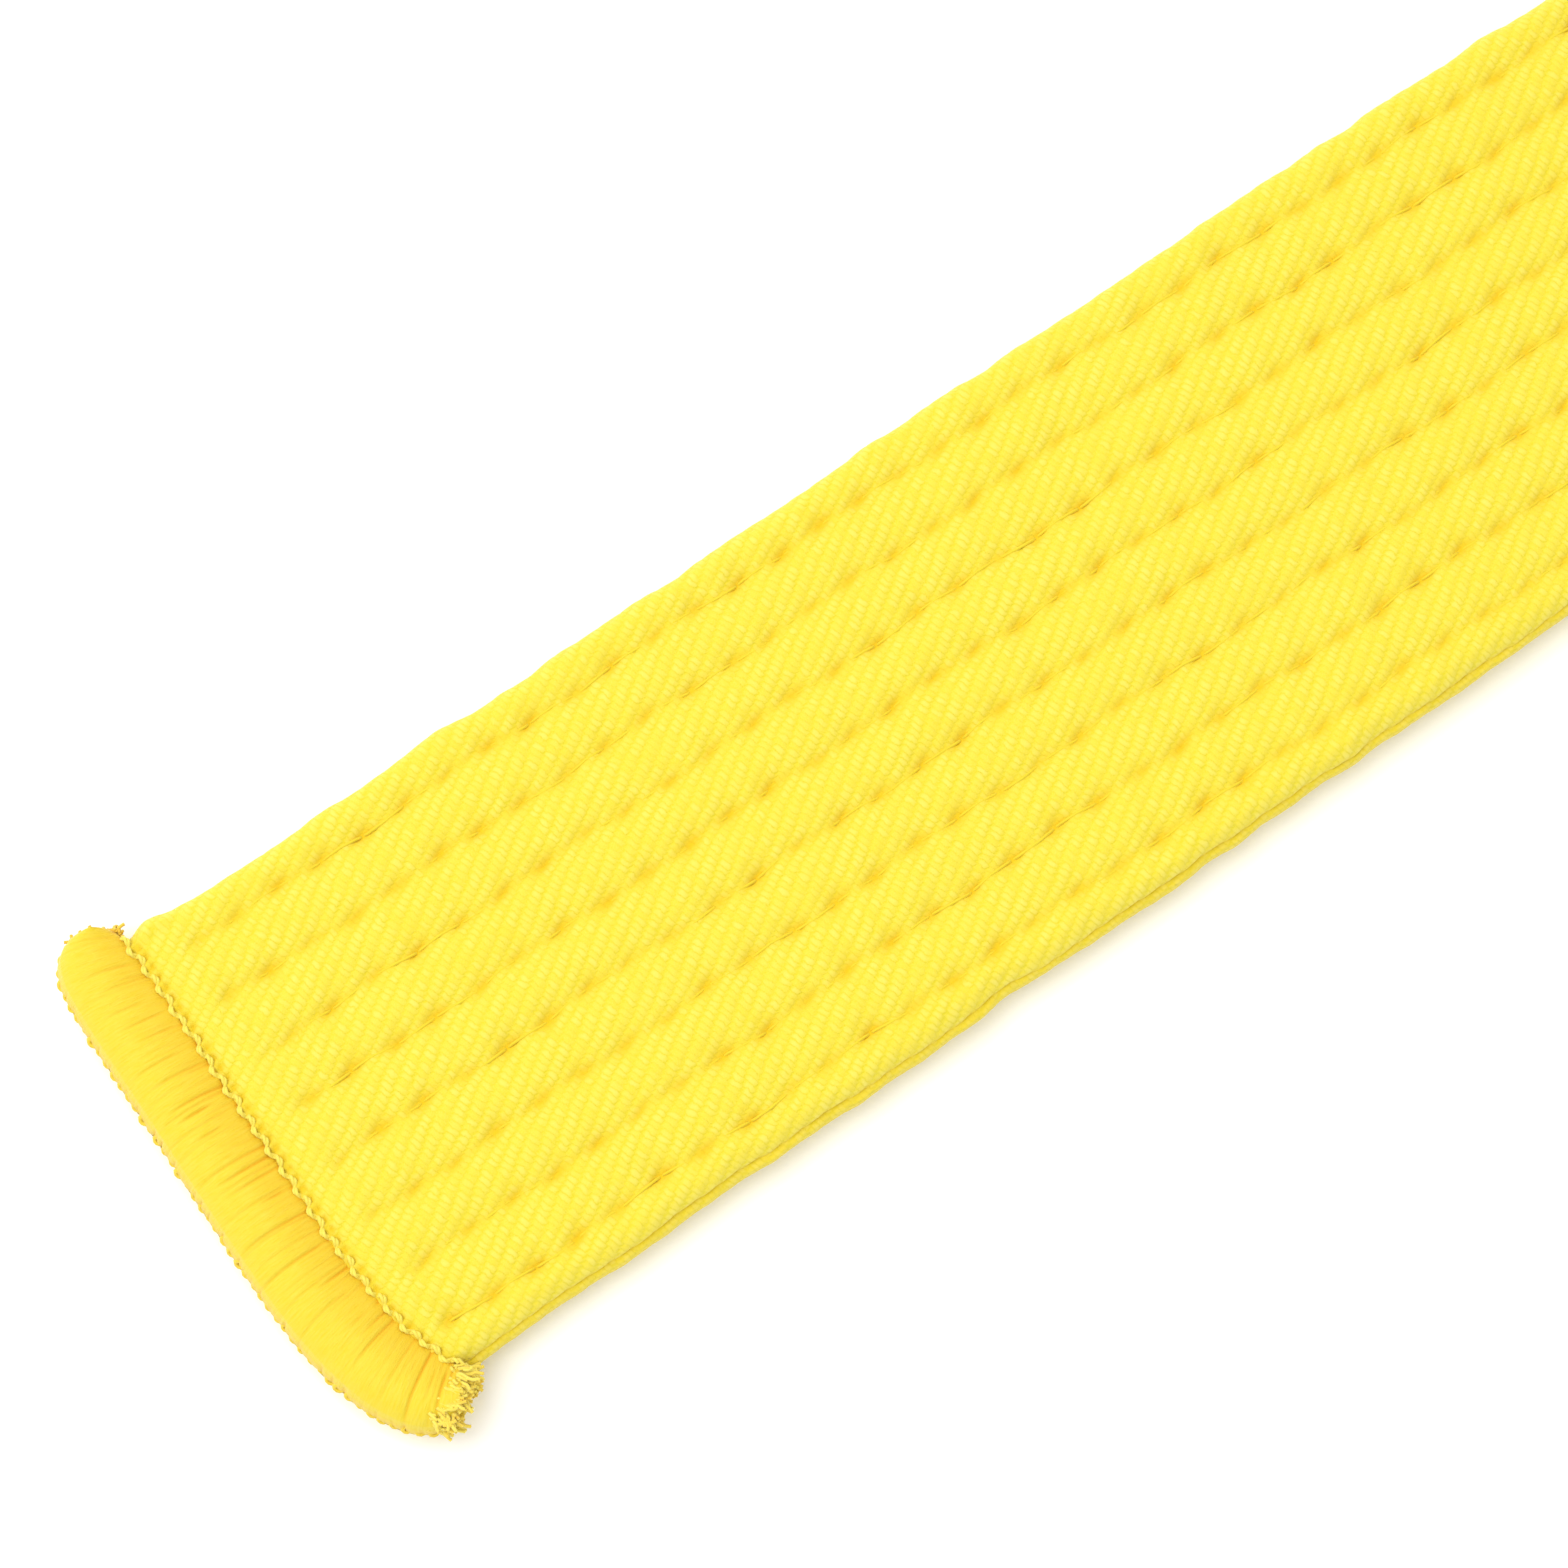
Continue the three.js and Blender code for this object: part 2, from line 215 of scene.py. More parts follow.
def soft_noise(layer, u, v):
    """Smooth noise from -1 to 1, with a cell of 1 in each direction."""
    grid = noise_grid[layer]
    iu, iv = np.floor(u).astype(int), np.floor(v).astype(int)
    fu, fv = u - iu, v - iv
    fu, fv = fu * fu * (3 - 2 * fu), fv * fv * (3 - 2 * fv)
    a, b = iu % grid.shape[0], iv % grid.shape[1]
    c, d = (a + 1) % grid.shape[0], (b + 1) % grid.shape[1]
    low = grid[a, b] * (1 - fu) + grid[c, b] * fu
    high = grid[a, d] * (1 - fu) + grid[c, d] * fu
    return 2 * (low * (1 - fv) + high * fv) - 1


def smooth(t):
    """Goes from 0 to 1 with t, levelling off at both ends."""
    t = np.clip(t, 0, 1)
    return t * t * (3 - 2 * t)


def row_place(side, row, along):
    """How far across a row of stitching runs, which wanders a little."""
    a, b, _ = row_phase[side, row]
    wander = 0.14 * np.sin(2 * np.pi * (along / 17.3 + a)) \
        + 0.10 * np.sin(2 * np.pi * (along / 6.1 + b))
    return FIRST_ROW - ROW_SPACING * row + wander


def stitch_holes(side, row):
    """Places of a row's needle holes along the belt, on the face (0) or the back (1)."""
    count = int((BELT_LENGTH - 2 * ROW_START) / STITCH_LENGTH)
    places = ROW_START + STITCH_LENGTH * (np.arange(count) + row_phase[side, row, 2])
    return places + hole_shift[side, row, :count]


# The inner edge of the overlock wrap, across the belt, in from its outermost thread.
WRAP_EDGE_ACROSS = np.array([-22.0, -20.4, -17.8, -14.0, -8.0, 18.4, 20.4, 22.5])
WRAP_EDGE_IN = np.array([10.2, 9.4, 8.2, 7.3, 6.75, 6.5, 6.2, 5.0])
NEEDLE_PITCH = 0.9


def wrap_edge(across):
    """How far in from the cut end the wrap reaches."""
    return np.interp(across, WRAP_EDGE_ACROSS, WRAP_EDGE_IN)


# The outer surface in section: straight face and back, joined by folds.
FACE_HALF = 18.2
FACE_TOP = 2.12
FOLD_REACH = 1.8
UPPER_EDGE_FROM = 17.2
UPPER_EDGE_REACH = 2.56
LOWER_EDGE_REACH = 1.95
FOLD_FULLNESS = 2.5
UPPER_EDGE_ANGLE = math.radians(16)
LOWER_EDGE_ANGLE = math.radians(11)
SLIT_HEIGHT = 0.76
LOWER_LIP = np.array([(20.0, 0.69), (19.84, 0.75), (19.62, 0.76), (19.38, 0.73)])


def fold_arc(start, end, count, middle, reach):
    """Part of a fold's outline, a flattened oval that bulges from the middle given."""
    angle = np.linspace(start, end, count)
    c, s = np.cos(angle), np.sin(angle)
    y = middle + reach * np.sign(c) * np.abs(c) ** (2 / FOLD_FULLNESS)
    z = FACE_TOP * np.sign(s) * np.abs(s) ** (2 / FOLD_FULLNESS)
    return np.stack([y, z], axis=-1)


def cover_section(face_step, back_step, fold_steps):
    """Columns of the outer surface, from the slit over the face and round to the slit:
    places across and up, outward normals, and distance round from the face's middle."""
    upper = fold_arc(UPPER_EDGE_ANGLE, math.pi / 2, fold_steps // 2, UPPER_EDGE_FROM,
                     UPPER_EDGE_REACH)
    fold = fold_arc(math.pi / 2, -math.pi / 2, fold_steps, FACE_HALF, FOLD_REACH)
    lower = fold_arc(-math.pi / 2, LOWER_EDGE_ANGLE, fold_steps // 2, FACE_HALF,
                     LOWER_EDGE_REACH)
    lower = np.concatenate([lower, LOWER_LIP])
    face = np.linspace(-UPPER_EDGE_FROM, FACE_HALF, int(2 * FACE_HALF / face_step) + 1)[1:-1]
    back = np.linspace(FACE_HALF, -FACE_HALF, int(2 * FACE_HALF / back_step) + 1)[1:-1]
    mirror = np.array([-1, 1])
    loop = np.concatenate([
        upper * mirror,
        np.stack([face, face * 0 + FACE_TOP], axis=-1),
        fold,
        np.stack([back, back * 0 - FACE_TOP], axis=-1),
        lower * mirror,
    ])
    step = unit(np.gradient(loop, axis=0))
    normal = np.stack([-step[:, 1], step[:, 0]], axis=-1)
    normal[-len(LOWER_LIP):] = (-1, 0)
    around = run_along(loop)
    start = len(upper) - 1
    around -= around[start] + UPPER_EDGE_FROM
    return loop, normal, around


# The twill: ribs that climb across the belt, made of short slanting floats.
YARN_ALONG = 0.403
YARN_ACROSS = 0.2365
FLOAT_LEAN = 0.3025
FLOAT_REPEAT = 0.936
FLOAT_SHARE = 0.93
RIB_HEIGHT = 0.10
RIB_ROUNDNESS = 0.95
RIB_MIDDLE = 0.55


def rib_profile(along, around):
    """Height of the twill's ribs, from 0 in the grooves to 1 on the crowns."""
    yarn = (along + FLOAT_LEAN * around) / (YARN_ALONG + YARN_ACROSS * FLOAT_LEAN)
    place = (around - YARN_ACROSS * yarn) / FLOAT_REPEAT
    out = 2 * (place - np.floor(place)) - 1
    return np.sqrt(np.maximum(1 - RIB_ROUNDNESS * out * out, 0)) * 1.28 - 0.28


# What the stitches press into the cloth: depth and half-width of the quilted valley, of
# the crease under the thread, and of the dip and the wider pull at each hole.
VALLEY_DEPTH, VALLEY_HALF = 0.20, 1.3
CREASE_DEPTH, CREASE_HALF = 0.13, 0.33
DIP_DEPTH, DIP_HALF, DIP_LENGTH = 0.12, 0.36, 0.85
PULL_DEPTH, PULL_HALF, PULL_LENGTH = 0.24, 1.0, 1.25
HOLE_LEAN = 0.22
ROW_REACH = 3.2
# The slit's two lips turn in, and the cloth flares beside the wrap at the +Y corner.
SLIT_HALF = 0.24
FLARE, FLARE_AT, FLARE_HALF = 0.55, 2.0, 1.3


def cover_relief(along, across, up, around, rib_share):
    """How far the cloth stands off its section, and how much painted shade its colour takes
    there.
    """
    off = np.zeros_like(along)
    tint = np.zeros_like(along)
    on_face = smooth((up / FACE_TOP - 0.86) / 0.12)
    on_back = smooth((-up / FACE_TOP - 0.86) / 0.12)
    for side, flat in ((0, on_face), (1, on_back)):
        for row in range(ROW_COUNT):
            near = np.abs(across[0] - (FIRST_ROW - ROW_SPACING * row)) < ROW_REACH
            near &= flat[0] > 0
            if not near.any():
                continue
            s, y = along[:, near], across[:, near]
            holes = stitch_holes(side, row)
            index = np.clip(np.searchsorted(holes, s), 1, len(holes) - 1)
            index -= np.abs(s - holes[index - 1]) < np.abs(s - holes[index])
            to_hole = s - holes[index]
            beside = y - row_place(side, row, s)
            force = hole_force[side, row][index]
            sewn = smooth((s - ROW_START + 1) / 2)
            sewn = sewn * smooth((BELT_LENGTH - ROW_START + 1 - s) / 2)
            aslant = beside - HOLE_LEAN * to_hole
            valley = np.exp(-(beside / VALLEY_HALF) ** 2)
            crease = np.exp(-(beside / CREASE_HALF) ** 2)
            dip = force * np.exp(-(to_hole / DIP_LENGTH) ** 2 - (aslant / DIP_HALF) ** 2)
            pull = force * np.exp(-(to_hole / PULL_LENGTH) ** 2 - (aslant / PULL_HALF) ** 2)
            strength = flat[:, near] * sewn
            off[:, near] -= strength * (VALLEY_DEPTH * valley + CREASE_DEPTH * crease
                                        + DIP_DEPTH * dip + PULL_DEPTH * pull)
            # Painted shade in the crease under the thread and in the dip and pull at each
            # hole.
            tint[:, near] += strength * (0.28 * crease + 0.46 * dip + 0.30 * pull)
    off += 0.10 * soft_noise(0, along / 5.3 - around / 9.0, around / 4.1)
    off += 0.06 * soft_noise(1, along / 2.1 - around / 4.0, around / 2.7)

    # The folds are gently scalloped by the pull of the stitches.
    fold = 1 - np.maximum(on_face, on_back)
    edge = np.sign(across)
    off += fold * (
        0.16 * soft_noise(2, along / 8.0 + 20 * edge, edge)
        + 0.15 * soft_noise(3, along / 2.6 + 20 * edge, up / 4.0)
    )

    # The cloth's two edges turn in along the slit, and painted shade deepens the colour in the
    # slit and on the lower half of the -Y fold.
    slit = np.exp(-((up - SLIT_HEIGHT) / SLIT_HALF) ** 2) * (across < -FACE_HALF)
    off -= (0.10 + 0.10 * soft_noise(3, along / 4.1, up * 0)) * slit
    tint += 0.3 * slit + 0.3 * smooth((0.5 - up) / 0.3) * fold * (across < 0)

    # Under the wraps the cloth is pressed down, and the overlock's needle pierces it. Painted
    # shade darkens the needle holes and a band along each wrap's edge.
    for inward in (along, BELT_LENGTH - along):
        past = inward - wrap_edge(across)
        pressed = 0.55 * (1 - smooth((past + 0.55) / 0.7)) + 0.2 * (1 - smooth(past / 2.4))
        off -= pressed * (1 - 0.75 * fold)
        off += (FLARE * fold * (across > 0) * smooth((up + 1.5) / 1.2)
                * np.exp(-((past - FLARE_AT) / FLARE_HALF) ** 2))
        holed = np.exp(-((past - 0.35) / 0.22) ** 2)
        holed *= 0.5 + 0.5 * np.cos(2 * np.pi * across / NEEDLE_PITCH)
        holed *= np.maximum(on_face, on_back)
        off -= 0.25 * holed
        tint += 0.9 * holed + 0.4 * np.exp(-((past - 0.1) / 0.6) ** 2)
    if rib_share:
        ribs = rib_profile(*twill_place(along, around)) - RIB_MIDDLE
        off += rib_share * RIB_HEIGHT * ribs
    return off, np.clip(tint, 0, 1)


def twill_place(along, around):
    """Where the weave's own coordinates lie: each row of stitching gathers the cloth a
    little towards itself, and the weave wanders by itself too."""
    gathered = np.sin(2 * np.pi * (around - FIRST_ROW) / ROW_SPACING)
    drift = 0.13 * soft_noise(4, along / 7.3, around / 6.1) - 0.04 * gathered
    sway = 0.10 * soft_noise(5, along / 5.9, around / 4.7) + 0.14 * gathered
    return along + drift, around + sway


INNER_HALF = 1.05
INNER_EDGE = 19.0
INNER_KINK = 9.0
LIP_HALF = 0.1


def inner_section():
    """The inner surface of the folded cloth, from the slit and round to the slit."""
    across = (-INNER_EDGE, -INNER_KINK, 0.0, INNER_KINK, INNER_EDGE)
    corners = [(-INNER_EDGE, SLIT_HEIGHT + LIP_HALF)]
    corners += [(y, INNER_HALF) for y in across]
    corners += [(INNER_EDGE, 0.0)]
    corners += [(y, -INNER_HALF) for y in across[::-1]]
    corners += [(-INNER_EDGE, SLIT_HEIGHT - LIP_HALF)]
    return np.array(corners)


def grid_faces(rows, columns, first, turned_over):
    """Four-sided faces of a grid of vertices that are numbered from first."""
    index = first + np.arange(rows * columns).reshape(rows, columns)
    a, b, c, d = index[:-1, :-1], index[1:, :-1], index[1:, 1:], index[:-1, 1:]
    quads = np.stack([a, d, c, b] if turned_over else [a, b, c, d], axis=-1)
    return quads.reshape(-1, 4)


def zipped(outer, inner, turned_over):
    """Triangles between two lines of vertices that run side by side."""
    faces, i, j = [], 0, 0
    while i < len(outer) - 1 or j < len(inner) - 1:
        ahead = (i + 1) / (len(outer) - 1) <= (j + 1) / (len(inner) - 1)
        if j == len(inner) - 1 or (ahead and i < len(outer) - 1):
            face = (outer[i], outer[i + 1], inner[j])
            i += 1
        else:
            face = (outer[i], inner[j + 1], inner[j])
            j += 1
        faces.append(face[::-1] if turned_over else face)
    return faces


def cover_length(name, start, end, step, face_step, back_step, fold_steps, rib_share):
    """One length of the cover: quilted outer surface, plain inner surface, cut ends."""
    section, normal, around = cover_section(face_step, back_step, fold_steps)
    rows = int(round((end - start) / step)) + 1
    # A row more at each end gives the same shading on both sides of a join.
    along = start + (np.arange(rows + 2) - 1) * (end - start) / (rows - 1)
    columns = len(section)
    s = np.repeat(along[:, None], columns, axis=1)
    y = np.repeat(section[None, :, 0], rows + 2, axis=0)
    z = np.repeat(section[None, :, 1], rows + 2, axis=0)
    p = np.repeat(around[None, :], rows + 2, axis=0)
    off, tint = cover_relief(s, y, z, p, rib_share)
    points = laid(s, y + off * normal[:, 0], z + off * normal[:, 1])
    slope_s, slope_p = np.gradient(points, axis=0), np.gradient(points, axis=1)
    facing = unit(np.cross(slope_p, slope_s))
    if (facing[1, columns // 4] @ np.array([0, 0, 1])) * np.cos(lay_of(along[1:2])[2][0]) < 0:
        facing = -facing
    points, facing, tint = points[1:-1], facing[1:-1], tint[1:-1]
    weave_s, weave_p = twill_place(s[1:-1], p[1:-1])

    inside = inner_section()
    inner_columns = len(inside)
    inner = laid_section(along[1:-1], inside)
    # At each cut end the cloth's thickness is closed straight down from every column.
    rim = laid_section(along[[1, -2]], np.clip(
        section, (-INNER_EDGE, -INNER_HALF), (INNER_EDGE, INNER_HALF)))
    first_inner = rows * columns
    first_rim = first_inner + rows * inner_columns
    outer_index = np.arange(first_inner).reshape(rows, columns)
    inner_index = first_inner + np.arange(rows * inner_columns).reshape(rows, inner_columns)
    rim_index = first_rim + np.arange(2 * columns).reshape(2, columns)
    quads = np.concatenate([
        grid_faces(rows, columns, 0, False),
        grid_faces(rows, inner_columns, first_inner, True),
        np.stack([outer_index[:-1, 0], inner_index[:-1, 0],
                  inner_index[1:, 0], outer_index[1:, 0]], axis=-1),
        np.stack([outer_index[1:, -1], inner_index[1:, -1],
                  inner_index[:-1, -1], outer_index[:-1, -1]], axis=-1),
    ])
    rims = np.stack([outer_index[0, :-1], outer_index[0, 1:],
                     rim_index[0, 1:], rim_index[0, :-1]], axis=-1).tolist()
    rims += np.stack([outer_index[-1, 1:], outer_index[-1, :-1],
                      rim_index[1, :-1], rim_index[1, 1:]], axis=-1).tolist()
    rims += zipped(rim_index[0], inner_index[0], False)
    rims += zipped(rim_index[1], inner_index[-1], True)
    rims += [(outer_index[0, 0], rim_index[0, 0], inner_index[0, 0]),
             (outer_index[0, -1], inner_index[0, -1], rim_index[0, -1]),
             (outer_index[-1, 0], inner_index[-1, 0], rim_index[1, 0]),
             (outer_index[-1, -1], rim_index[1, -1], inner_index[-1, -1])]

    mesh = bpy.data.meshes.new(name)
    vertices = np.concatenate([grid.reshape(-1, 3) for grid in (points, inner, rim)])
    faces = quads.tolist() + [tuple(map(int, face)) for face in rims]
    mesh.from_pydata(vertices.tolist(), [], faces)
    shade_smooth(mesh)
    place = np.zeros((len(vertices), 3))
    # The third value is painted shade, from cover_relief.
    place[:first_inner] = np.stack([weave_s, weave_p, tint], axis=-1).reshape(-1, 3)
    point_values(mesh, "weave_place", place)
    point_values(mesh, "ribs_carved", np.full(len(vertices), rib_share))
    facing_all = np.zeros((len(vertices), 3))
    facing_all[:first_inner] = facing.reshape(-1, 3)
    mesh.normals_split_custom_set_from_vertices(facing_all)
    mesh.update()
    return shown(name, mesh)


def node_group(name, inputs, outputs):
    """An empty shader node group with named float sockets."""
    group = bpy.data.node_groups.new(name, "ShaderNodeTree")
    for label, default in inputs:
        kind = "NodeSocketVector" if default is None else "NodeSocketFloat"
        socket = group.interface.new_socket(label, in_out="INPUT", socket_type=kind)
        if default is not None:
            socket.default_value = default
    for label in outputs:
        group.interface.new_socket(label, in_out="OUTPUT", socket_type="NodeSocketFloat")
    return group, group.nodes.new("NodeGroupInput"), group.nodes.new("NodeGroupOutput")


def sums_in(tree):
    """Returns a function that adds a Math node to the tree and gives its result."""
    def sum_of(operation, *values, clamp=False):
        node = tree.nodes.new("ShaderNodeMath")
        node.operation = operation
        node.use_clamp = clamp
        for socket, value in zip(node.inputs, values):
            if isinstance(value, (int, float)):
                socket.default_value = value
            else:
                tree.links.new(value, socket)
        return node.outputs[0]
    return sum_of


def noise_in(tree, place, scale, detail, roughness=0.5):
    """Adds noise that has a cell of 1 / scale at the place given."""
    node = tree.nodes.new("ShaderNodeTexNoise")
    node.inputs["Scale"].default_value = scale
    node.inputs["Detail"].default_value = detail
    node.inputs["Roughness"].default_value = roughness
    tree.links.new(place, node.inputs["Vector"])
    return node


# The twill as a pattern: each yarn across the belt floats over three and dives under one.
twill, twill_in, twill_out = node_group(
    "twill_weave",
    [("Place", None), ("Yarn Along", YARN_ALONG), ("Yarn Across", YARN_ACROSS),
     ("Lean", FLOAT_LEAN), ("Repeat", FLOAT_REPEAT), ("Float Share", FLOAT_SHARE)],
    ["Rib", "Float", "Groove", "Uneven"],
)
calc = sums_in(twill)
split = twill.nodes.new("ShaderNodeSeparateXYZ")
twill.links.new(twill_in.outputs["Place"], split.inputs[0])
along_in, around_in = split.outputs[0], split.outputs[1]
yarn_along, yarn_across, lean, repeat, float_share = (
    twill_in.outputs[label]
    for label in ("Yarn Along", "Yarn Across", "Lean", "Repeat", "Float Share"))
yarn_pitch = calc("ADD", yarn_along, calc("MULTIPLY", yarn_across, lean))
yarn = calc("DIVIDE", calc("ADD", along_in, calc("MULTIPLY", around_in, lean)), yarn_pitch)


def from_middle(share):
    """A share of a repeat, as a place from -1 to 1 across it."""
    return calc("SUBTRACT", calc("MULTIPLY", calc("FRACT", share), 2.0), 1.0)


def repeats_round(at_yarn):
    """How many repeats round the belt a place is, counted from a yarn's own start."""
    return calc("DIVIDE", calc("SUBTRACT", around_in, calc("MULTIPLY", at_yarn, yarn_across)),
                repeat)


yarn_out = from_middle(yarn)
yarn_round = calc("SUBTRACT", 1.0, calc("MULTIPLY", yarn_out, yarn_out))
middle = calc("ADD", calc("FLOOR", yarn), 0.5)
float_out = calc("DIVIDE", calc("ABSOLUTE", from_middle(repeats_round(middle))), float_share)
float_round = calc("SUBTRACT", 1.0, calc("POWER", float_out, 2.4), clamp=True)
rib_out = from_middle(repeats_round(yarn))
rib = calc("SQRT", calc("SUBTRACT", 1.0, calc(
    "MULTIPLY", calc("MULTIPLY", rib_out, rib_out), RIB_ROUNDNESS)))
floated = calc("MULTIPLY", calc("POWER", yarn_round, 0.5), calc("POWER", float_round, 0.6))
float_number = calc("FLOOR", repeats_round(middle))
float_cell = twill.nodes.new("ShaderNodeCombineXYZ")
twill.links.new(middle, float_cell.inputs[0])
twill.links.new(float_number, float_cell.inputs[1])
uneven = twill.nodes.new("ShaderNodeTexWhiteNoise")
twill.links.new(float_cell.outputs[0], uneven.inputs["Vector"])
twill.links.new(uneven.outputs["Value"], twill_out.inputs["Uneven"])
twill.links.new(rib, twill_out.inputs["Rib"])
twill.links.new(floated, twill_out.inputs["Float"])
twill.links.new(calc("SUBTRACT", 1.0, calc("MULTIPLY", rib, floated)),
                twill_out.inputs["Groove"])

# Loose fibres: fine noise that breaks up a smooth surface.
fibres, fibres_in, fibres_out = node_group(
    "loose_fibres", [("Place", None), ("Size", 0.12)], ["Height", "Patch"])
calc = sums_in(fibres)
spread = fibres.nodes.new("ShaderNodeVectorMath")
spread.operation = "SCALE"
fibres.links.new(fibres_in.outputs["Place"], spread.inputs[0])
fibres.links.new(calc("DIVIDE", 1.0, fibres_in.outputs["Size"]), spread.inputs["Scale"])
fine = noise_in(fibres, spread.outputs[0], 1.0, 3.0)
patchy = noise_in(fibres, fibres_in.outputs["Place"], 0.35, 2.0)
fibres.links.new(fine.outputs[0], fibres_out.inputs["Height"])
fibres.links.new(patchy.outputs[0], fibres_out.inputs["Patch"])


def blend_colours(tree, share, low, high):
    """Adds a Mix node between two colours, each given as a value or a socket."""
    node = tree.nodes.new("ShaderNodeMix")
    node.data_type = "RGBA"
    tree.links.new(share, node.inputs[0])
    for socket, colour in ((node.inputs[6], low), (node.inputs[7], high)):
        if isinstance(colour, tuple):
            socket.default_value = (*colour, 1)
        else:
            tree.links.new(colour, socket)
    return node.outputs[2]


def set_sheen(shader, weight, roughness, tint):
    shader.inputs["Sheen Weight"].default_value = weight
    shader.inputs["Sheen Roughness"].default_value = roughness
    shader.inputs["Sheen Tint"].default_value = (*tint, 1)


def add_bump(tree, shader, height, strength):
    """Lets a height in millimetres shape how the surface takes the light."""
    bump = tree.nodes.new("ShaderNodeBump")
    bump.inputs["Distance"].default_value = MM
    bump.inputs["Strength"].default_value = strength
    tree.links.new(height, bump.inputs["Height"])
    tree.links.new(bump.outputs[0], shader.inputs["Normal"])


def point_value(tree, label):
    """A node that reads what point_values stored."""
    node = tree.nodes.new("ShaderNodeAttribute")
    node.attribute_name = label
    return node


def group_in(tree, group, place, **values):
    """Puts a node group in a material, with its place and its own values."""
    node = tree.nodes.new("ShaderNodeGroup")
    node.node_tree = group
    tree.links.new(place, node.inputs["Place"])
    for label, value in values.items():
        node.inputs[label.replace("_", " ")].default_value = value
    return node


WARM_SHEEN = (1.0, 0.95, 0.6)
# The cloth's own lemon, then a lighter lemon painted on as highlight, a deeper yellow painted
# on as shade in the grooves and also used for random patches, and an orange painted on as
# shade in creases and holes.
LEMON = (0.765, 0.625, 0.030)
LEMON_HIGHLIGHT = (0.800, 0.695, 0.118)
DEEP_YELLOW = (0.69, 0.58, 0.016)
SHADE_ORANGE = (0.77, 0.515, 0.008)

cover_twill, tree, shader = matt_material("cover_twill", 0.88, 0.18)
set_sheen(shader, 0.25, 0.6, WARM_SHEEN)
calc = sums_in(tree)
place = point_value(tree, "weave_place")
carved = point_value(tree, "ribs_carved")
depth = tree.nodes.new("ShaderNodeSeparateXYZ")
tree.links.new(place.outputs["Vector"], depth.inputs[0])
# The yarns are spun unevenly, so the weave's lines waver by a fraction of a yarn.
waver = noise_in(tree, place.outputs["Vector"], 1.9, 1.0)
wavered = tree.nodes.new("ShaderNodeVectorMath")
wavered.operation = "MULTIPLY_ADD"
wavered.inputs[1].default_value = (0.34, 0.30, 0.0)
tree.links.new(waver.outputs["Color"], wavered.inputs[0])
tree.links.new(place.outputs["Vector"], wavered.inputs[2])
weave = group_in(tree, twill, wavered.outputs[0])
fluff = group_in(tree, fibres, place.outputs["Vector"])
rib_left = calc("SUBTRACT", 1.0, carved.outputs["Fac"])
FLOAT_HEIGHT = 0.034
FLUFF_HEIGHT = 0.04
ribs_up = calc("MULTIPLY", weave.outputs["Rib"], rib_left)
height = calc("ADD", calc("MULTIPLY", ribs_up, RIB_HEIGHT),
              calc("MULTIPLY", weave.outputs["Float"], FLOAT_HEIGHT))
height = calc("ADD", height, calc("MULTIPLY", fluff.outputs["Height"], FLUFF_HEIGHT))
add_bump(tree, shader, height, 0.9)
groove = calc("POWER", weave.outputs["Groove"], 1.6, clamp=True)
uneven = weave.outputs["Uneven"]
# Painted highlight on the floats' tops, varied at random from float to float.
colour = blend_colours(tree, calc("MULTIPLY", weave.outputs["Float"], calc(
    "ADD", 0.15, calc("MULTIPLY", uneven, 0.75))), LEMON, LEMON_HIGHLIGHT)
# Painted shade in the weave's grooves, varied at random from float to float.
colour = blend_colours(tree, calc("MULTIPLY", groove, calc(
    "ADD", 0.15, calc("MULTIPLY", uneven, 0.9)), clamp=True), colour, DEEP_YELLOW)
# Painted highlight on the high points of the loose fibres.
colour = blend_colours(tree, calc("MULTIPLY", calc("SUBTRACT", fluff.outputs["Height"], 0.42,
                                                   clamp=True), 1.3, clamp=True),
                       colour, LEMON_HIGHLIGHT)
colour = blend_colours(tree, calc("MULTIPLY", calc("SUBTRACT", fluff.outputs["Patch"], 0.35,
                                                   clamp=True), 0.35), colour, DEEP_YELLOW)
# Painted shade: the cloth deepens to orange in creases and holes, in the slit, on the -Y
# fold's lower half and along the wraps.
colour = blend_colours(tree, depth.outputs[2], colour, SHADE_ORANGE)
tree.links.new(colour, shader.inputs["Base Color"])

# Each length's name, start and end, steps along it and over its face, back and folds,
# the body it moves with and the nodes it stands for.
cover_plan = [
    ("cover_end", 3.4, 80.0, 0.25, 0.25, 0.6, 24, "free_tail", ["cover_tail"]),
    ("cover_bend", 80.0, 150.0, 0.25, 0.25, 0.6, 24, "bend", ["cover_tail", "cover_flat_run"]),
    ("cover_outer_turn", 150.0, 700.0, 0.9, 1.0, 0.7, 16, "rolled_belt",
     ["cover_flat_run", "cover_rolled"]),
    ("cover_middle_turns", 700.0, 2300.0, 2.2, 1.3, 1.3, 12, "rolled_belt", ["cover_rolled"]),
    ("cover_inner_end", 2300.0, 2596.6, 0.8, 0.7, 1.0, 16, "rolled_belt", ["cover_rolled"]),
]
for name, start, end, step, face_step, back_step, fold_steps, body, nodes in cover_plan:
    piece = cover_length(name, start, end, step, face_step, back_step, fold_steps,
                         1.0 if step < 0.4 else 0.0)
    piece.data.materials.append(cover_twill)
    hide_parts(*nodes)
    if body == "bend":
        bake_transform(piece)
    else:
        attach(piece, body)


# ---------------------------------------------------------------- core plies
# Two strips of unbleached cotton interlining give the belt its body.  They are cut a
# little narrower than the folded cover and lie loose in it until it is quilted.

PLY_HALF_WIDTH = 18.85
PLY_THICK = 0.7
PLY_GAP = 0.12
PLY_START = 3.5
PLY_STEP = 2.5

UNBLEACHED = (0.90, 0.86, 0.74)
UNBLEACHED_SHADE = (0.66, 0.60, 0.46)
RING_POINTS = 9

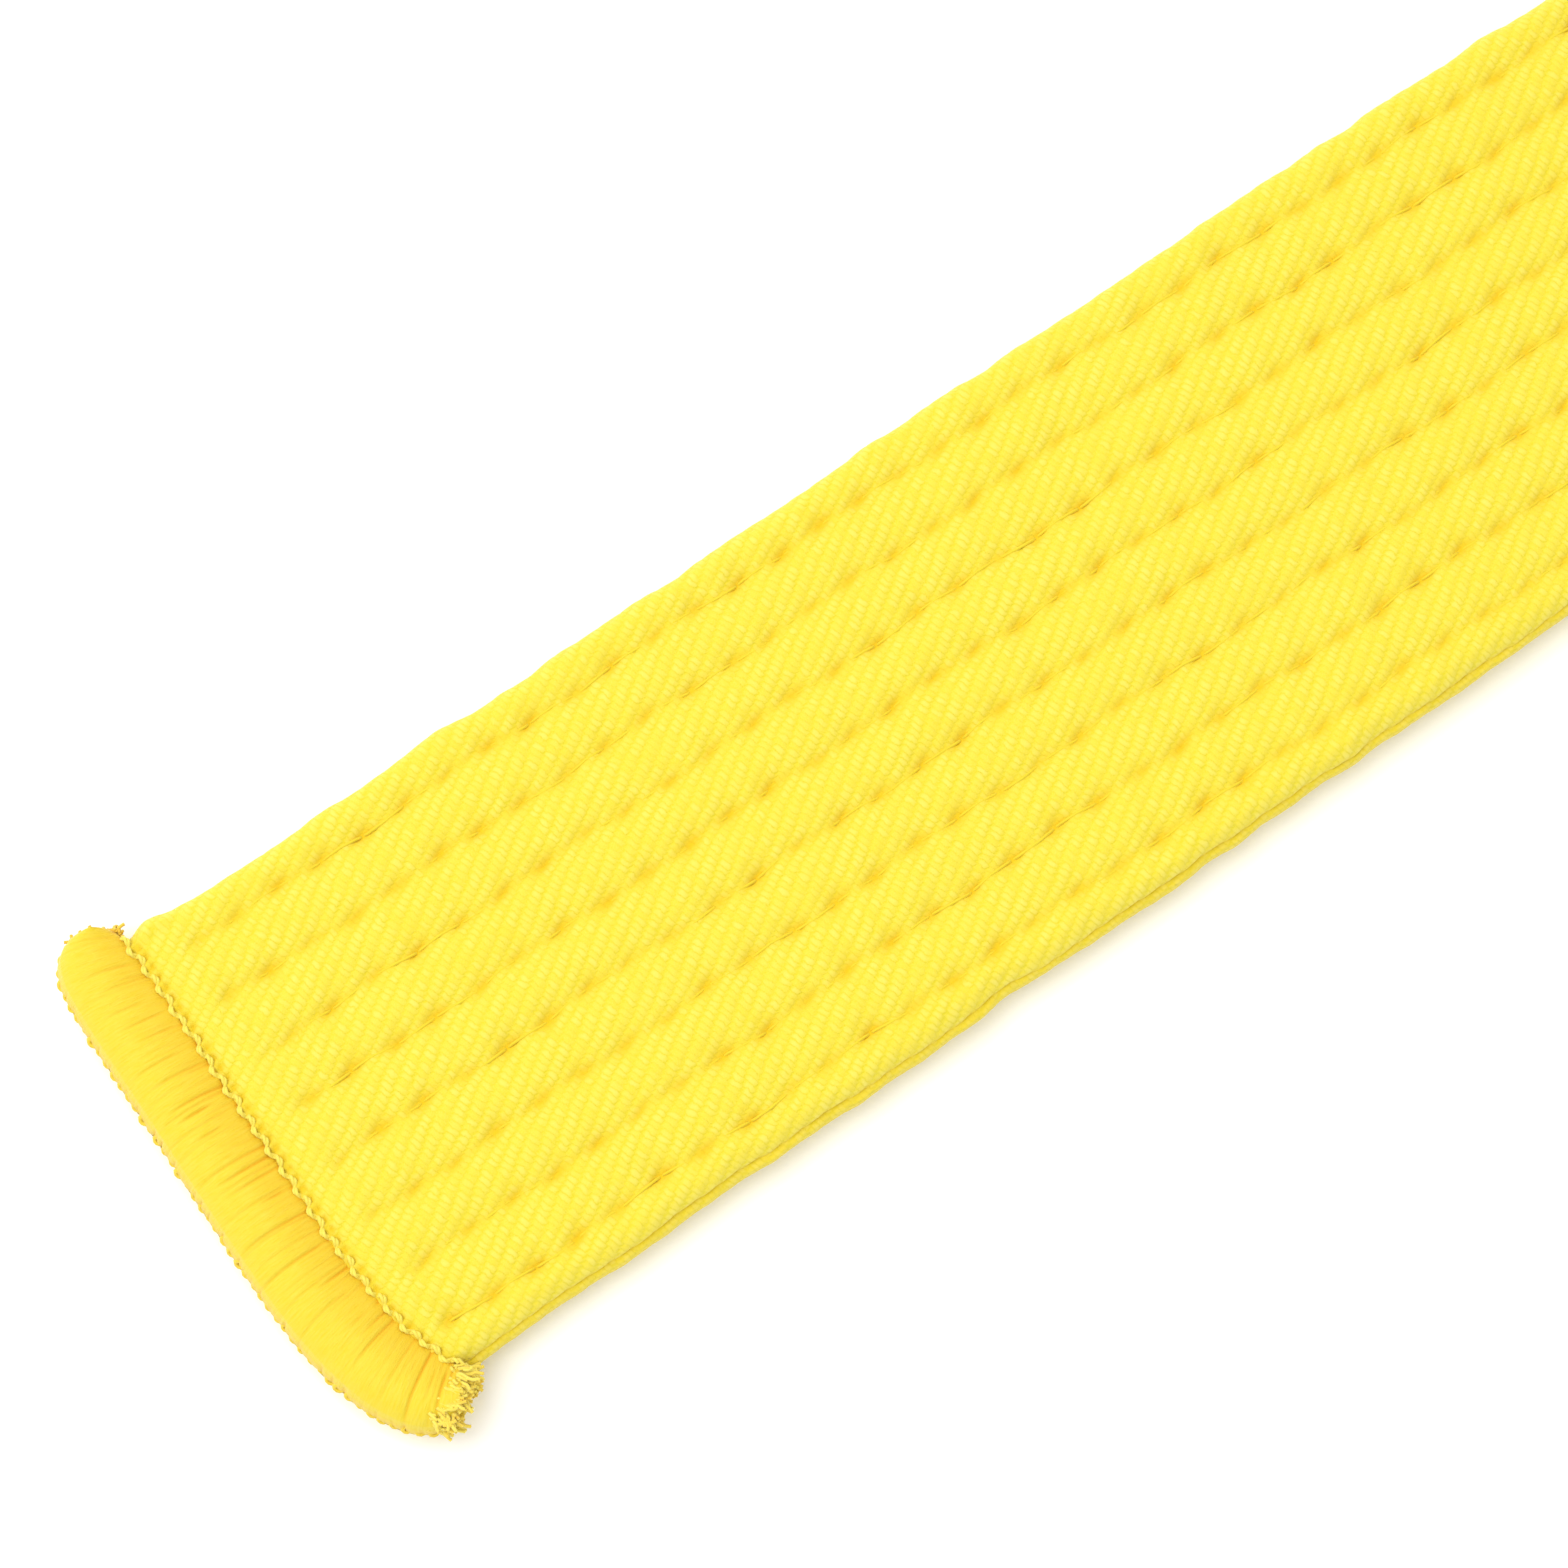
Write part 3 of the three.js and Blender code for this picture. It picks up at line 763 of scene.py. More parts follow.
core_cotton, tree, shader = matt_material("core_cotton", 0.95, 0.15)
weave = group_in(tree, twill, point_value(tree, "weave_place").outputs["Vector"],
                 Yarn_Along=0.6, Yarn_Across=0.6, Lean=0.0, Repeat=1.2)
# The grooves of the weave take painted shade.
tree.links.new(blend_colours(tree, weave.outputs["Groove"], UNBLEACHED, UNBLEACHED_SHADE),
               shader.inputs["Base Color"])
add_bump(tree, shader, weave.outputs["Float"], 0.4)

# Both plies run the whole length, and bend with the cover.
ply_along = np.arange(PLY_START, BELT_LENGTH - PLY_START + PLY_STEP / 2, PLY_STEP)
for ply, side in ((1, -1), (2, 1)):
    near, far = side * PLY_GAP / 2, side * (PLY_GAP / 2 + PLY_THICK)
    low, high = min(near, far), max(near, far)
    across = np.linspace(-PLY_HALF_WIDTH, PLY_HALF_WIDTH, RING_POINTS)
    ring = np.array([(y, high) for y in across] + [(y, low) for y in across[::-1]])
    rows, columns = len(ply_along), len(ring)
    points = laid_section(ply_along, ring).reshape(-1, 3)
    index = np.arange(rows * columns).reshape(rows, columns)
    wrapped = np.concatenate([index, index[:, :1]], axis=1)
    quads = np.stack([wrapped[:-1, :-1], wrapped[1:, :-1], wrapped[1:, 1:], wrapped[:-1, 1:]],
                     axis=-1).reshape(-1, 4)
    mesh = bpy.data.meshes.new(f"core_ply_{ply}")
    mesh.from_pydata(points.tolist(), [],
                     quads.tolist() + [index[0].tolist(), index[-1][::-1].tolist()])
    weave_at = np.zeros((rows * columns, 3))
    weave_at[:, 0] = np.repeat(ply_along, columns)
    weave_at[:, 1] = np.tile(ring[:, 0], rows)
    point_values(mesh, "weave_place", weave_at)
    mesh.materials.append(core_cotton)
    piece = shown(f"core_ply_{ply}", mesh)
    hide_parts(f"core_ply_{ply}_tail", f"core_ply_{ply}_rolled")
    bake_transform(piece)


# ---------------------------------------------------------------- lockstitch rows
# Eight rows of lockstitch quilt the belt.  In each row a needle thread lies along the
# face and a bobbin thread along the back, and both dive into every needle hole.  They
# are spun polyester, pulled down into the cloth.


def geometry_tree(name, inputs):
    """A geometry tree with one mesh in and out, and the named inputs given."""
    tree = bpy.data.node_groups.new(name, "GeometryNodeTree")
    for label, kind in [("Geometry", "NodeSocketGeometry"), *inputs]:
        tree.interface.new_socket(label, in_out="INPUT", socket_type=kind)
    tree.interface.new_socket("Geometry", in_out="OUTPUT", socket_type="NodeSocketGeometry")
    return tree, tree.nodes.new("NodeGroupInput"), tree.nodes.new("NodeGroupOutput")


def wire(tree, *wires):
    """Joins one node's output to another's input, for each wire."""
    for source, out, target, into in wires:
        tree.links.new(source.outputs[out], target.inputs[into])


thread_tree, given, made = geometry_tree("thread_along_path", [
    ("Thread Radius", "NodeSocketFloat"), ("Sides", "NodeSocketInt"),
    ("Material", "NodeSocketMaterial")])
nodes = thread_tree.nodes
as_curve = nodes.new("GeometryNodeMeshToCurve")
girth = nodes.new("GeometryNodeInputNamedAttribute")
girth.data_type = "FLOAT"
girth.inputs["Name"].default_value = "girth"
set_girth = nodes.new("GeometryNodeSetCurveRadius")
ring = nodes.new("GeometryNodeCurvePrimitiveCircle")
tube = nodes.new("GeometryNodeCurveToMesh")
tube.inputs["Fill Caps"].default_value = True
smoothed = nodes.new("GeometryNodeSetShadeSmooth")
real = nodes.new("GeometryNodeRealizeInstances")
finish = nodes.new("GeometryNodeSetMaterial")
wire(thread_tree,
     (given, "Geometry", as_curve, "Mesh"), (as_curve, "Curve", set_girth, "Curve"),
     (girth, "Attribute", set_girth, "Radius"), (given, "Sides", ring, "Resolution"),
     (given, "Thread Radius", ring, "Radius"), (set_girth, "Curve", tube, "Curve"),
     (ring, "Curve", tube, "Profile Curve"), (tube, "Mesh", smoothed, "Geometry"),
     (smoothed, "Geometry", real, "Geometry"), (real, "Geometry", finish, "Geometry"),
     (given, "Material", finish, "Material"), (finish, "Geometry", made, "Geometry"))


def made_by(tree, name, mesh, settings):
    """Runs a geometry tree on a mesh, and returns the result as a plain object."""
    source = shown(name + "_guide", mesh)
    run = source.modifiers.new("make", "NODES")
    run.node_group = tree
    for socket in tree.interface.items_tree:
        if socket.in_out == "INPUT" and socket.name in settings:
            run[socket.identifier] = settings[socket.name]
    bpy.context.view_layer.update()
    evaluated = source.evaluated_get(bpy.context.evaluated_depsgraph_get())
    result = bpy.data.meshes.new_from_object(evaluated)
    result.name = name
    source.modifiers.remove(run)
    bpy.data.objects.remove(source)
    return shown(name, result)


def guide_mesh(name, lines, girths, tints):
    """Lines of points, in metres, with a girth and a depth of colour at each point; on sewn
    threads that depth is painted shade.
    """
    mesh = bpy.data.meshes.new(name)
    counts = [len(line) for line in lines]
    starts = np.concatenate([[0], np.cumsum(counts)])
    edges = [(i, i + 1) for a, n in zip(starts, counts) for i in range(a, a + n - 1)]
    mesh.from_pydata(np.concatenate(lines).tolist(), edges, [])
    point_values(mesh, "girth", np.concatenate(girths))
    point_values(mesh, "tint", np.concatenate(tints))
    return mesh


def thread_material(name, light, deep, hole, fibre_height):
    """A dyed thread: fine twisted fibres, with its last colour mixed in by each point's tint,
    which on sewn threads is painted shade where they are hidden.
    """
    material, tree, shader = matt_material(name, 0.72, 0.3)
    set_sheen(shader, 0.3, 0.5, WARM_SHEEN)
    calc = sums_in(tree)
    where = tree.nodes.new("ShaderNodeTexCoord")
    scaled = tree.nodes.new("ShaderNodeMapping")
    scaled.inputs["Scale"].default_value = (1 / MM, 1 / MM, 1 / MM)
    tree.links.new(where.outputs["Object"], scaled.inputs["Vector"])
    fluff = group_in(tree, fibres, scaled.outputs[0], Size=0.1)
    tint = point_value(tree, "tint")
    colour = blend_colours(tree, calc("MULTIPLY", fluff.outputs["Height"], 0.5), light, deep)
    colour = blend_colours(tree, tint.outputs["Fac"], colour, hole)
    tree.links.new(colour, shader.inputs["Base Color"])
    add_bump(tree, shader, calc("MULTIPLY", fluff.outputs["Height"], fibre_height), 0.7)
    return material


sewing_thread = thread_material("sewing_thread", LEMON, DEEP_YELLOW, SHADE_ORANGE, 0.05)

THREAD_RADIUS = 0.12
THREAD_DIVE = 0.55
# Share of the stitch, height above the groove's floor and girth, from hole to hole.
STITCH_FORM = np.array([
    [0.0, -1.0, 0.8], [0.05, -0.45, 0.9], [0.14, -0.18, 0.95], [0.5, 0.1, 1.05],
    [0.86, -0.18, 0.95], [0.95, -0.45, 0.9],
])
GROOVE_FLOOR = FACE_TOP - 0.48
# Painted shade on the sewing threads: a little all along the groove, more where they dive into
# the holes.
SHADE_LYING = 0.10
SHADE_DIVING = 0.25

for side, (kind, up) in enumerate((("needle", 1), ("bobbin", -1))):
    for row in range(ROW_COUNT):
        holes = stitch_holes(side, row)
        spans = np.diff(holes)
        along = (holes[:-1, None] + STITCH_FORM[None, :, 0] * spans[:, None]).ravel()
        rise = np.tile(STITCH_FORM[:, 1], len(spans))
        height = GROOVE_FLOOR + np.where(rise < 0, rise * THREAD_DIVE, rise)
        points = laid(along, row_place(side, row, along), up * height)
        piece = made_by(
            thread_tree, f"{kind}_thread_{row + 1}",
            guide_mesh("stitches", [points], [np.tile(STITCH_FORM[:, 2], len(spans))],
                       [SHADE_LYING + SHADE_DIVING * (rise < 0)]),
            {"Thread Radius": THREAD_RADIUS * MM, "Sides": 5, "Material": sewing_thread},
        )
        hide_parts(f"{kind}_thread_{row + 1}_tail", f"{kind}_thread_{row + 1}_rolled")
        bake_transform(piece)


# ---------------------------------------------------------------- overlock wraps
# Each cut end is bound by a three-thread overlock in soft bulked thread.  The upper
# looper's thread goes over the face in some fifty satin bands, the lower looper's over
# the back, and they lock in a row of small knots along the outer edge.

ENDS = {
    "flat_end": (np.array([TO_ROW_X, TO_ROW_Y, HALF_THICK]),
                 np.array([[1.0, 0, 0], [0, 1, 0], [0, 0, 1]]), "free_tail"),
    "inner_end": (np.array([235.723 + TO_ROW_X, TO_ROW_Y, 93.4226]),
                  np.array([[math.cos(math.pi / 6), 0, -0.5], [0, 1, 0],
                            [0.5, 0, math.cos(math.pi / 6)]]), "rolled_belt"),
}
WRAP_OUTER = np.array([
    (4.7, 22.2), (3.9, 22.5), (2.6, 22.55), (1.1, 21.8), (0.25, 20.0), (0.0, 17.0), (0, 9),
    (0, 1), (0, -6), (0.15, -10.5), (0.65, -14.5), (1.7, -18.4), (3.4, -21.5), (5.3, -22.9),
    (6.9, -22.8), (8.2, -22.1),
])
WRAP_INNER = np.array([
    (5.5, 21.7), (5.7, 21.4), (5.95, 21.0), (6.2, 20.2), (6.4, 18.7), (6.5, 16), (6.5, 9),
    (6.55, 1), (6.65, -6), (6.85, -9.5), (7.2, -12.8), (7.7, -15.6), (8.4, -17.8),
    (9.0, -19.1), (9.3, -19.7), (9.5, -20.2),
])
BAND_COUNT = 50
BAND_SAMPLES = 12
BAND_PITCH = 0.88
WRAP_REACH = 6.5
# The upper half's crown, and the lower half's where it rests on the table.
UPPER_CROWN = 2.68
LOWER_CROWN = 2.28
UPPER_SEED, LOWER_SEED = 101, 201
# Share of the way from the needle line to the outer edge, and height there.
WRAP_CROWN = np.array([
    (0.0, 1.72), (0.05, 1.92), (0.14, 2.16), (0.28, 2.42), (0.44, 2.62), (0.58, 2.68),
    (0.7, 2.58), (0.81, 2.28), (0.9, 1.78), (0.96, 1.12), (0.99, 0.5), (1.0, 0.06),
])


def along_line(points, share):
    """Points at shares of a polyline, rounded off between its corners."""
    at = np.linspace(0, 1, len(points))
    fine = np.linspace(0, 1, 400)
    path = np.stack([np.interp(fine, at, points[:, k]) for k in (0, 1)], axis=-1)
    for _ in range(160):
        path[1:-1] += 0.25 * (path[:-2] + path[2:] - 2 * path[1:-1])
    return np.stack([np.interp(share, fine, path[:, k]) for k in (0, 1)], axis=-1)


def even_shares(count):
    """Shares of the wrap's length that lie evenly along its middle."""
    share = np.linspace(0, 1, 400)
    middle = (along_line(WRAP_OUTER, share) + along_line(WRAP_INNER, share)) / 2
    run = run_along(middle)
    return np.interp(np.linspace(0, run[-1], count), run, share)


def placed_at(end, local):
    """Points in the row's frame, from millimetres in a cut end's own frame."""
    origin, axes, _ = ENDS[end]
    return (origin + local @ axes) * MM


def wrap_face(dice, columns, shares):
    """Places on a wrap's face, with its creases, and where painted shade darkens its crease
    lines.
    """
    rows = len(shares)
    band = np.linspace(0, BAND_COUNT, columns)[None, :]
    q = shares[:, None]
    # Each crease between two bands has its own depth, lean and reach.
    crease_count = 2 * BAND_COUNT + 1
    crease_at = np.arange(crease_count) / 2 + dice.uniform(-0.16, 0.16, crease_count)
    crease_deep = dice.uniform(0.0, 1.0, crease_count) ** 2.2
    crease_deep[1::2] *= 0.55
    crease_from = dice.uniform(-0.3, 0.25, crease_count)
    crease_to = dice.uniform(0.45, 1.15, crease_count)
    crease_bow = dice.uniform(-0.35, 0.35, crease_count)
    wave = 0.5 * np.sin(q * 3.0) - 0.2
    hollow = np.zeros((rows, columns))
    line = np.zeros((rows, columns))
    for k in range(crease_count):
        near = np.abs(band[0] - crease_at[k]) < 2.2
        gap = band[:, near] - crease_at[k] + wave * 0.5 + crease_bow[k] * (q - 0.5) ** 2 * 2
        reach = smooth((q - crease_from[k]) / 0.25) * smooth((crease_to[k] - q) / 0.35)
        at_edges = 0.6 * smooth((0.1 - q) / 0.1) + smooth((q - 0.9) / 0.06)
        edge_reach = np.maximum(reach, at_edges)
        deep = (0.12 + 0.88 * crease_deep[k]) * edge_reach
        hollow[:, near] += deep * (0.15 * np.exp(-(gap / 0.12) ** 2)
                                   + 0.10 * np.exp(-(gap / 0.38) ** 2))
        line[:, near] = np.maximum(line[:, near], deep * np.exp(-(gap / 0.11) ** 2))
    return hollow, line


def wrap_half(end, side, seed):
    """The satin bands over the face (side 1) or the back (side -1) of one cut end."""
    dice = np.random.default_rng(seed)
    columns = BAND_COUNT * BAND_SAMPLES + 1
    shares = np.concatenate([np.linspace(0, 0.86, 26), np.linspace(0.885, 1.0, 12)])
    rows = len(shares)
    t = even_shares(columns)
    outer, inner = along_line(WRAP_OUTER, t), along_line(WRAP_INNER, t)
    q = shares[:, None, None]
    plan = inner[None] * (1 - q) + outer[None] * q
    hollow, line = wrap_face(dice, columns, shares)
    height = np.interp(shares, WRAP_CROWN[:, 0], WRAP_CROWN[:, 1])[:, None]
    lump = 1 + 0.05 * soft_noise(6, np.linspace(0, 14, columns)[None, :] + 9 * side,
                                 shares[:, None] * 2)
    corner = smooth(t / 0.035)[None, :] * 0.55 + 0.45
    tip = 1 - 0.35 * smooth((t - 0.95) / 0.05)[None, :]
    crown = UPPER_CROWN if side > 0 else LOWER_CROWN
    z = np.minimum(height * lump, crown) * corner * tip
    z -= hollow * smooth((1.02 - shares[:, None]) / 0.2)
    # Near the outer edge the creases cut into the outline instead.
    outward = unit(outer - inner)
    bite = hollow * smooth((shares[:, None] - 0.8) / 0.2) * 0.8
    plan = plan - bite[:, :, None] * outward[None]
    local = np.concatenate([plan, side * z[:, :, None]], axis=-1)

    under_shares = np.array([0.0, 0.25, 0.44, 0.5, 0.75, 0.97])
    under_t = t[::BAND_SAMPLES]
    under_outer, under_inner = along_line(WRAP_OUTER, under_t), along_line(WRAP_INNER, under_t)
    uq = under_shares[:, None, None]
    under_plan = under_inner[None] * (1 - uq) + under_outer[None] * uq
    over_belt = (under_plan[:, :, 0] > 3.3) & (np.abs(under_plan[:, :, 1]) < 20.2)
    under_z = np.where(over_belt, 1.5, 0.08)
    under = np.concatenate([under_plan, side * under_z[:, :, None]], axis=-1)

    first = rows * columns
    top = np.arange(first).reshape(rows, columns)
    bottom = first + np.arange(under_z.size).reshape(under_z.shape)
    faces = grid_faces(rows, columns, 0, side < 0).tolist()
    faces += grid_faces(*under_z.shape, first, side > 0).tolist()
    flip = side > 0
    faces += zipped(top[0], bottom[0], not flip) + zipped(top[-1], bottom[-1], flip)
    faces += zipped(top[:, 0], bottom[:, 0], flip)
    faces += zipped(top[:, -1], bottom[:, -1], not flip)
    points = np.concatenate([local.reshape(-1, 3), under.reshape(-1, 3)])
    name = f"{end}_wrap_{'upper' if side > 0 else 'lower'}_looper"
    mesh = bpy.data.meshes.new(name)
    mesh.from_pydata(placed_at(end, points).tolist(), [],
                     [tuple(map(int, face)) for face in faces])
    shade_smooth(mesh)
    # Painted shade: along the crease lines, on the side towards the needle line, in the needle
    # holes, on the outer edge as it turns down, and all over the underside.
    towards_needle = 1 - smooth(shares[:, None] / 0.62)
    tint = 0.9 * line * (1 - 0.5 * smooth((shares[:, None] - 0.4) / 0.5))
    tint = tint + 0.42 * towards_needle
    holed = 0.5 + 0.5 * np.cos(2 * np.pi * np.linspace(0, BAND_COUNT, columns))[None, :]
    tint = tint + 0.7 * holed ** 2 * np.exp(-(shares[:, None] / 0.05) ** 2)
    tint = tint + 0.35 * smooth((shares[:, None] - 0.93) / 0.06)
    tint = np.concatenate([np.clip(tint, 0, 1).ravel(), np.full(under_z.size, 0.5)])
    point_values(mesh, "tint", tint)
    satin_at = np.zeros((len(points), 3))
    satin_at[:first, 0] = np.repeat(shares * WRAP_REACH, columns)
    satin_at[:first, 1] = np.tile(np.linspace(0, BAND_COUNT * BAND_PITCH, columns), rows)
    point_values(mesh, "satin_place", satin_at)
    mesh.materials.append(wrap_thread)
    piece = shown(name, mesh)
    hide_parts(name)
    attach(piece, ENDS[end][2])


SATIN = (0.745, 0.570, 0.016)
SATIN_LIGHT = (0.785, 0.655, 0.074)
# The last satin colour is painted shade.
SATIN_SHADE = (0.74, 0.39, 0.004)

wrap_thread, tree, shader = matt_material("wrap_thread", 0.62, 0.3)
set_sheen(shader, 0.35, 0.45, (1.0, 0.95, 0.65))
calc = sums_in(tree)
satin_place = point_value(tree, "satin_place")
# Filaments run from the needle line over the crown, so the noise is drawn out that way.
drawn_out = tree.nodes.new("ShaderNodeMapping")
drawn_out.inputs["Scale"].default_value = (0.12, 1.0, 1.0)
tree.links.new(satin_place.outputs["Vector"], drawn_out.inputs["Vector"])
filaments = noise_in(tree, drawn_out.outputs[0], 7.0, 4.0, roughness=0.6)
tint = point_value(tree, "tint")
fluff = group_in(tree, fibres, satin_place.outputs["Vector"], Size=0.15)
streak = calc("MULTIPLY", calc("SUBTRACT", filaments.outputs[0], 0.35, clamp=True), 1.6,
              clamp=True)
colour = blend_colours(tree, streak, SATIN, SATIN_LIGHT)
# Painted shade, by each point's tint.
colour = blend_colours(tree, tint.outputs["Fac"], colour, SATIN_SHADE)
tree.links.new(colour, shader.inputs["Base Color"])
FILAMENT_HEIGHT = 0.10
SATIN_FLUFF_HEIGHT = 0.03
height = calc("ADD", calc("MULTIPLY", filaments.outputs[0], FILAMENT_HEIGHT),
              calc("MULTIPLY", fluff.outputs["Height"], SATIN_FLUFF_HEIGHT))
add_bump(tree, shader, height, 0.8)

for number, end in enumerate(ENDS):
    wrap_half(end, 1, UPPER_SEED + number)
    wrap_half(end, -1, LOWER_SEED + number)


# ---------------------------------------------------------------- overlock knots
# Along the outer edge of each wrap the two loopers' threads cross in a row of small
# knots, one to a stitch.  Each shows as a tight loop of thread with a shadow in it.

KNOT_PITCH = 0.98
KNOT_LOOP = 0.30
KNOT_THREAD = 0.17
KNOT_SIZE_SEED = 7
KNOT_PLACE_SEED = 301

knot_tree, given, made = geometry_tree("knots_along_edge", [
    ("Loop Radius", "NodeSocketFloat"), ("Thread Radius", "NodeSocketFloat"),
    ("Seed", "NodeSocketInt"), ("Material", "NodeSocketMaterial")])
nodes = knot_tree.nodes
loop = nodes.new("GeometryNodeCurvePrimitiveCircle")
loop.inputs["Resolution"].default_value = 9
ring = nodes.new("GeometryNodeCurvePrimitiveCircle")
ring.inputs["Resolution"].default_value = 5
tube = nodes.new("GeometryNodeCurveToMesh")
smoothed = nodes.new("GeometryNodeSetShadeSmooth")
edge_way = nodes.new("GeometryNodeInputNamedAttribute")
edge_way.data_type = "FLOAT_VECTOR"
edge_way.inputs["Name"].default_value = "edge_way"
turned = nodes.new("FunctionNodeAlignRotationToVector")
turned.axis = "Z"
sizes = nodes.new("FunctionNodeRandomValue")
sizes.data_type = "FLOAT"
sizes.inputs[2].default_value, sizes.inputs[3].default_value = 0.85, 1.2
copies = nodes.new("GeometryNodeInstanceOnPoints")
real = nodes.new("GeometryNodeRealizeInstances")
finish = nodes.new("GeometryNodeSetMaterial")
wire(knot_tree,
     (given, "Loop Radius", loop, "Radius"), (given, "Thread Radius", ring, "Radius"),
     (given, "Seed", sizes, "Seed"), (loop, "Curve", tube, "Curve"),
     (ring, "Curve", tube, "Profile Curve"), (tube, "Mesh", smoothed, "Geometry"),
     (edge_way, "Attribute", turned, "Vector"), (given, "Geometry", copies, "Points"),
     (smoothed, "Geometry", copies, "Instance"), (turned, "Rotation", copies, "Rotation"),
     (sizes, 1, copies, "Scale"), (copies, "Instances", real, "Geometry"),
     (real, "Geometry", finish, "Geometry"), (given, "Material", finish, "Material"),
     (finish, "Geometry", made, "Geometry"))

knot_thread = thread_material("wrap_knot_thread", (0.82, 0.63, 0.05), (0.78, 0.48, 0.010),
                            SHADE_ORANGE, 0.05)

for number, end in enumerate(ENDS):
    dice = np.random.default_rng(KNOT_PLACE_SEED + number)
    share = np.linspace(0, 1, 600)
    edge = along_line(WRAP_OUTER, share)
    run = run_along(edge)
    knot_run = np.arange(1.6, run[-1] - 0.3, KNOT_PITCH)
    knot_run += dice.uniform(-0.1, 0.1, len(knot_run))
    knot_share = np.interp(knot_run, run, share)
    ahead = along_line(WRAP_OUTER, np.minimum(knot_share + 0.004, 1))
    behind = along_line(WRAP_OUTER, np.maximum(knot_share - 0.004, 0))
    way = unit(ahead - behind)
    outward = np.stack([way[:, 1], -way[:, 0]], axis=-1)
    middle = along_line(WRAP_OUTER, knot_share)
    if (outward[:, 0] * (middle[:, 0] - 6) + outward[:, 1] * middle[:, 1] < 0).mean() > 0.5:
        outward = -outward
    spot = middle + outward * (dice.uniform(-0.06, 0.06, len(middle)) - 0.27)[:, None]
    low = dice.uniform(0.2, 0.55, len(middle))
    lean = dice.uniform(0.5, 0.9, len(middle))
    points = np.concatenate([spot, low[:, None]], axis=-1)
    ways = np.concatenate([way * 0.35 + outward * 0.7, lean[:, None]], axis=-1)
    mesh = bpy.data.meshes.new("knots")
    mesh.from_pydata(placed_at(end, points).tolist(), [], [])
    point_values(mesh, "edge_way", ways @ ENDS[end][1])
    piece = made_by(knot_tree, f"{end}_wrap_knots", mesh, {
        "Loop Radius": KNOT_LOOP * MM, "Thread Radius": KNOT_THREAD * MM,
        "Seed": KNOT_SIZE_SEED, "Material": knot_thread})
    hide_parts(f"{end}_wrap_upper_looper", f"{end}_wrap_lower_looper")
    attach(piece, ENDS[end][2])


# ---------------------------------------------------------------- overlock needle threads
# The overlock's needle thread holds the upper looper's loops along the wrap's inner
# edge.  It is a finer, lighter two-ply thread, and dives into the cloth at each stitch.

CHAIN_PATH = np.array([
    (6.20, 20.3), (6.32, 19.2), (6.46, 17.5), (6.50, 9.0), (6.55, 1.0), (6.65, -6.0),
    (6.9, -10.0), (7.3, -13.4), (7.85, -16.0), (8.5, -18.0), (9.2, -19.5),
])
CHAIN_STITCH = 0.9
CHAIN_PLY = 0.13
CHAIN_TWIST = 0.10
CHAIN_HEIGHT = 1.93
CHAIN_SWING = 0.20
CHAIN_DIVE = 0.22
CHAIN_SEED = 401

wrap_needle_thread = thread_material("wrap_needle_thread", (0.84, 0.72, 0.12), LEMON,
                                   SHADE_ORANGE, 0.04)

for number, end in enumerate(ENDS):
    dice = np.random.default_rng(CHAIN_SEED + number)
    share = np.linspace(0, 1, 480)
    path = along_line(CHAIN_PATH, share)
    run = run_along(path)
    way = unit(np.gradient(path, axis=0))
    beside = np.stack([-way[:, 1], way[:, 0]], axis=-1)
    stitch = run / CHAIN_STITCH
    swing = CHAIN_SWING * np.sin(np.pi * stitch)
    swing = swing + 0.08 * soft_noise(7, run * 0.8, 0 * run + number)
    dive = CHAIN_DIVE * np.abs(np.cos(np.pi * stitch)) ** 6
    lift = CHAIN_HEIGHT + 0.12 * np.abs(np.sin(np.pi * stitch)) - dive
    lines, girths, tints = [], [], []
    for ply in (0, 1):
        turn = 1.5 * np.pi * stitch + np.pi * ply
        aside = path + beside * (swing + CHAIN_TWIST * np.cos(turn))[:, None]
        lines.append(placed_at(end, np.concatenate(
            [aside, (lift + CHAIN_TWIST * np.sin(turn))[:, None]], axis=-1)))
        girths.append(0.9 + 0.25 * dice.random(len(run)))
        # Painted shade where the thread dives into the cloth.
        tints.append(1.2 * dive)
    piece = made_by(thread_tree, f"{end}_wrap_needle_chain",
                    guide_mesh("chain", lines, girths, tints),
                    {"Thread Radius": CHAIN_PLY * MM, "Sides": 6,
                     "Material": wrap_needle_thread})
    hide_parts(f"{end}_wrap_needle_thread")
    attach(piece, ENDS[end][2])


# ---------------------------------------------------------------- thread tails
# At each corner the overlock's threads run off the belt and are cut short.  At the -Y
# corner they end in a thick frayed brush, and at the +Y corner in a small ragged fringe.

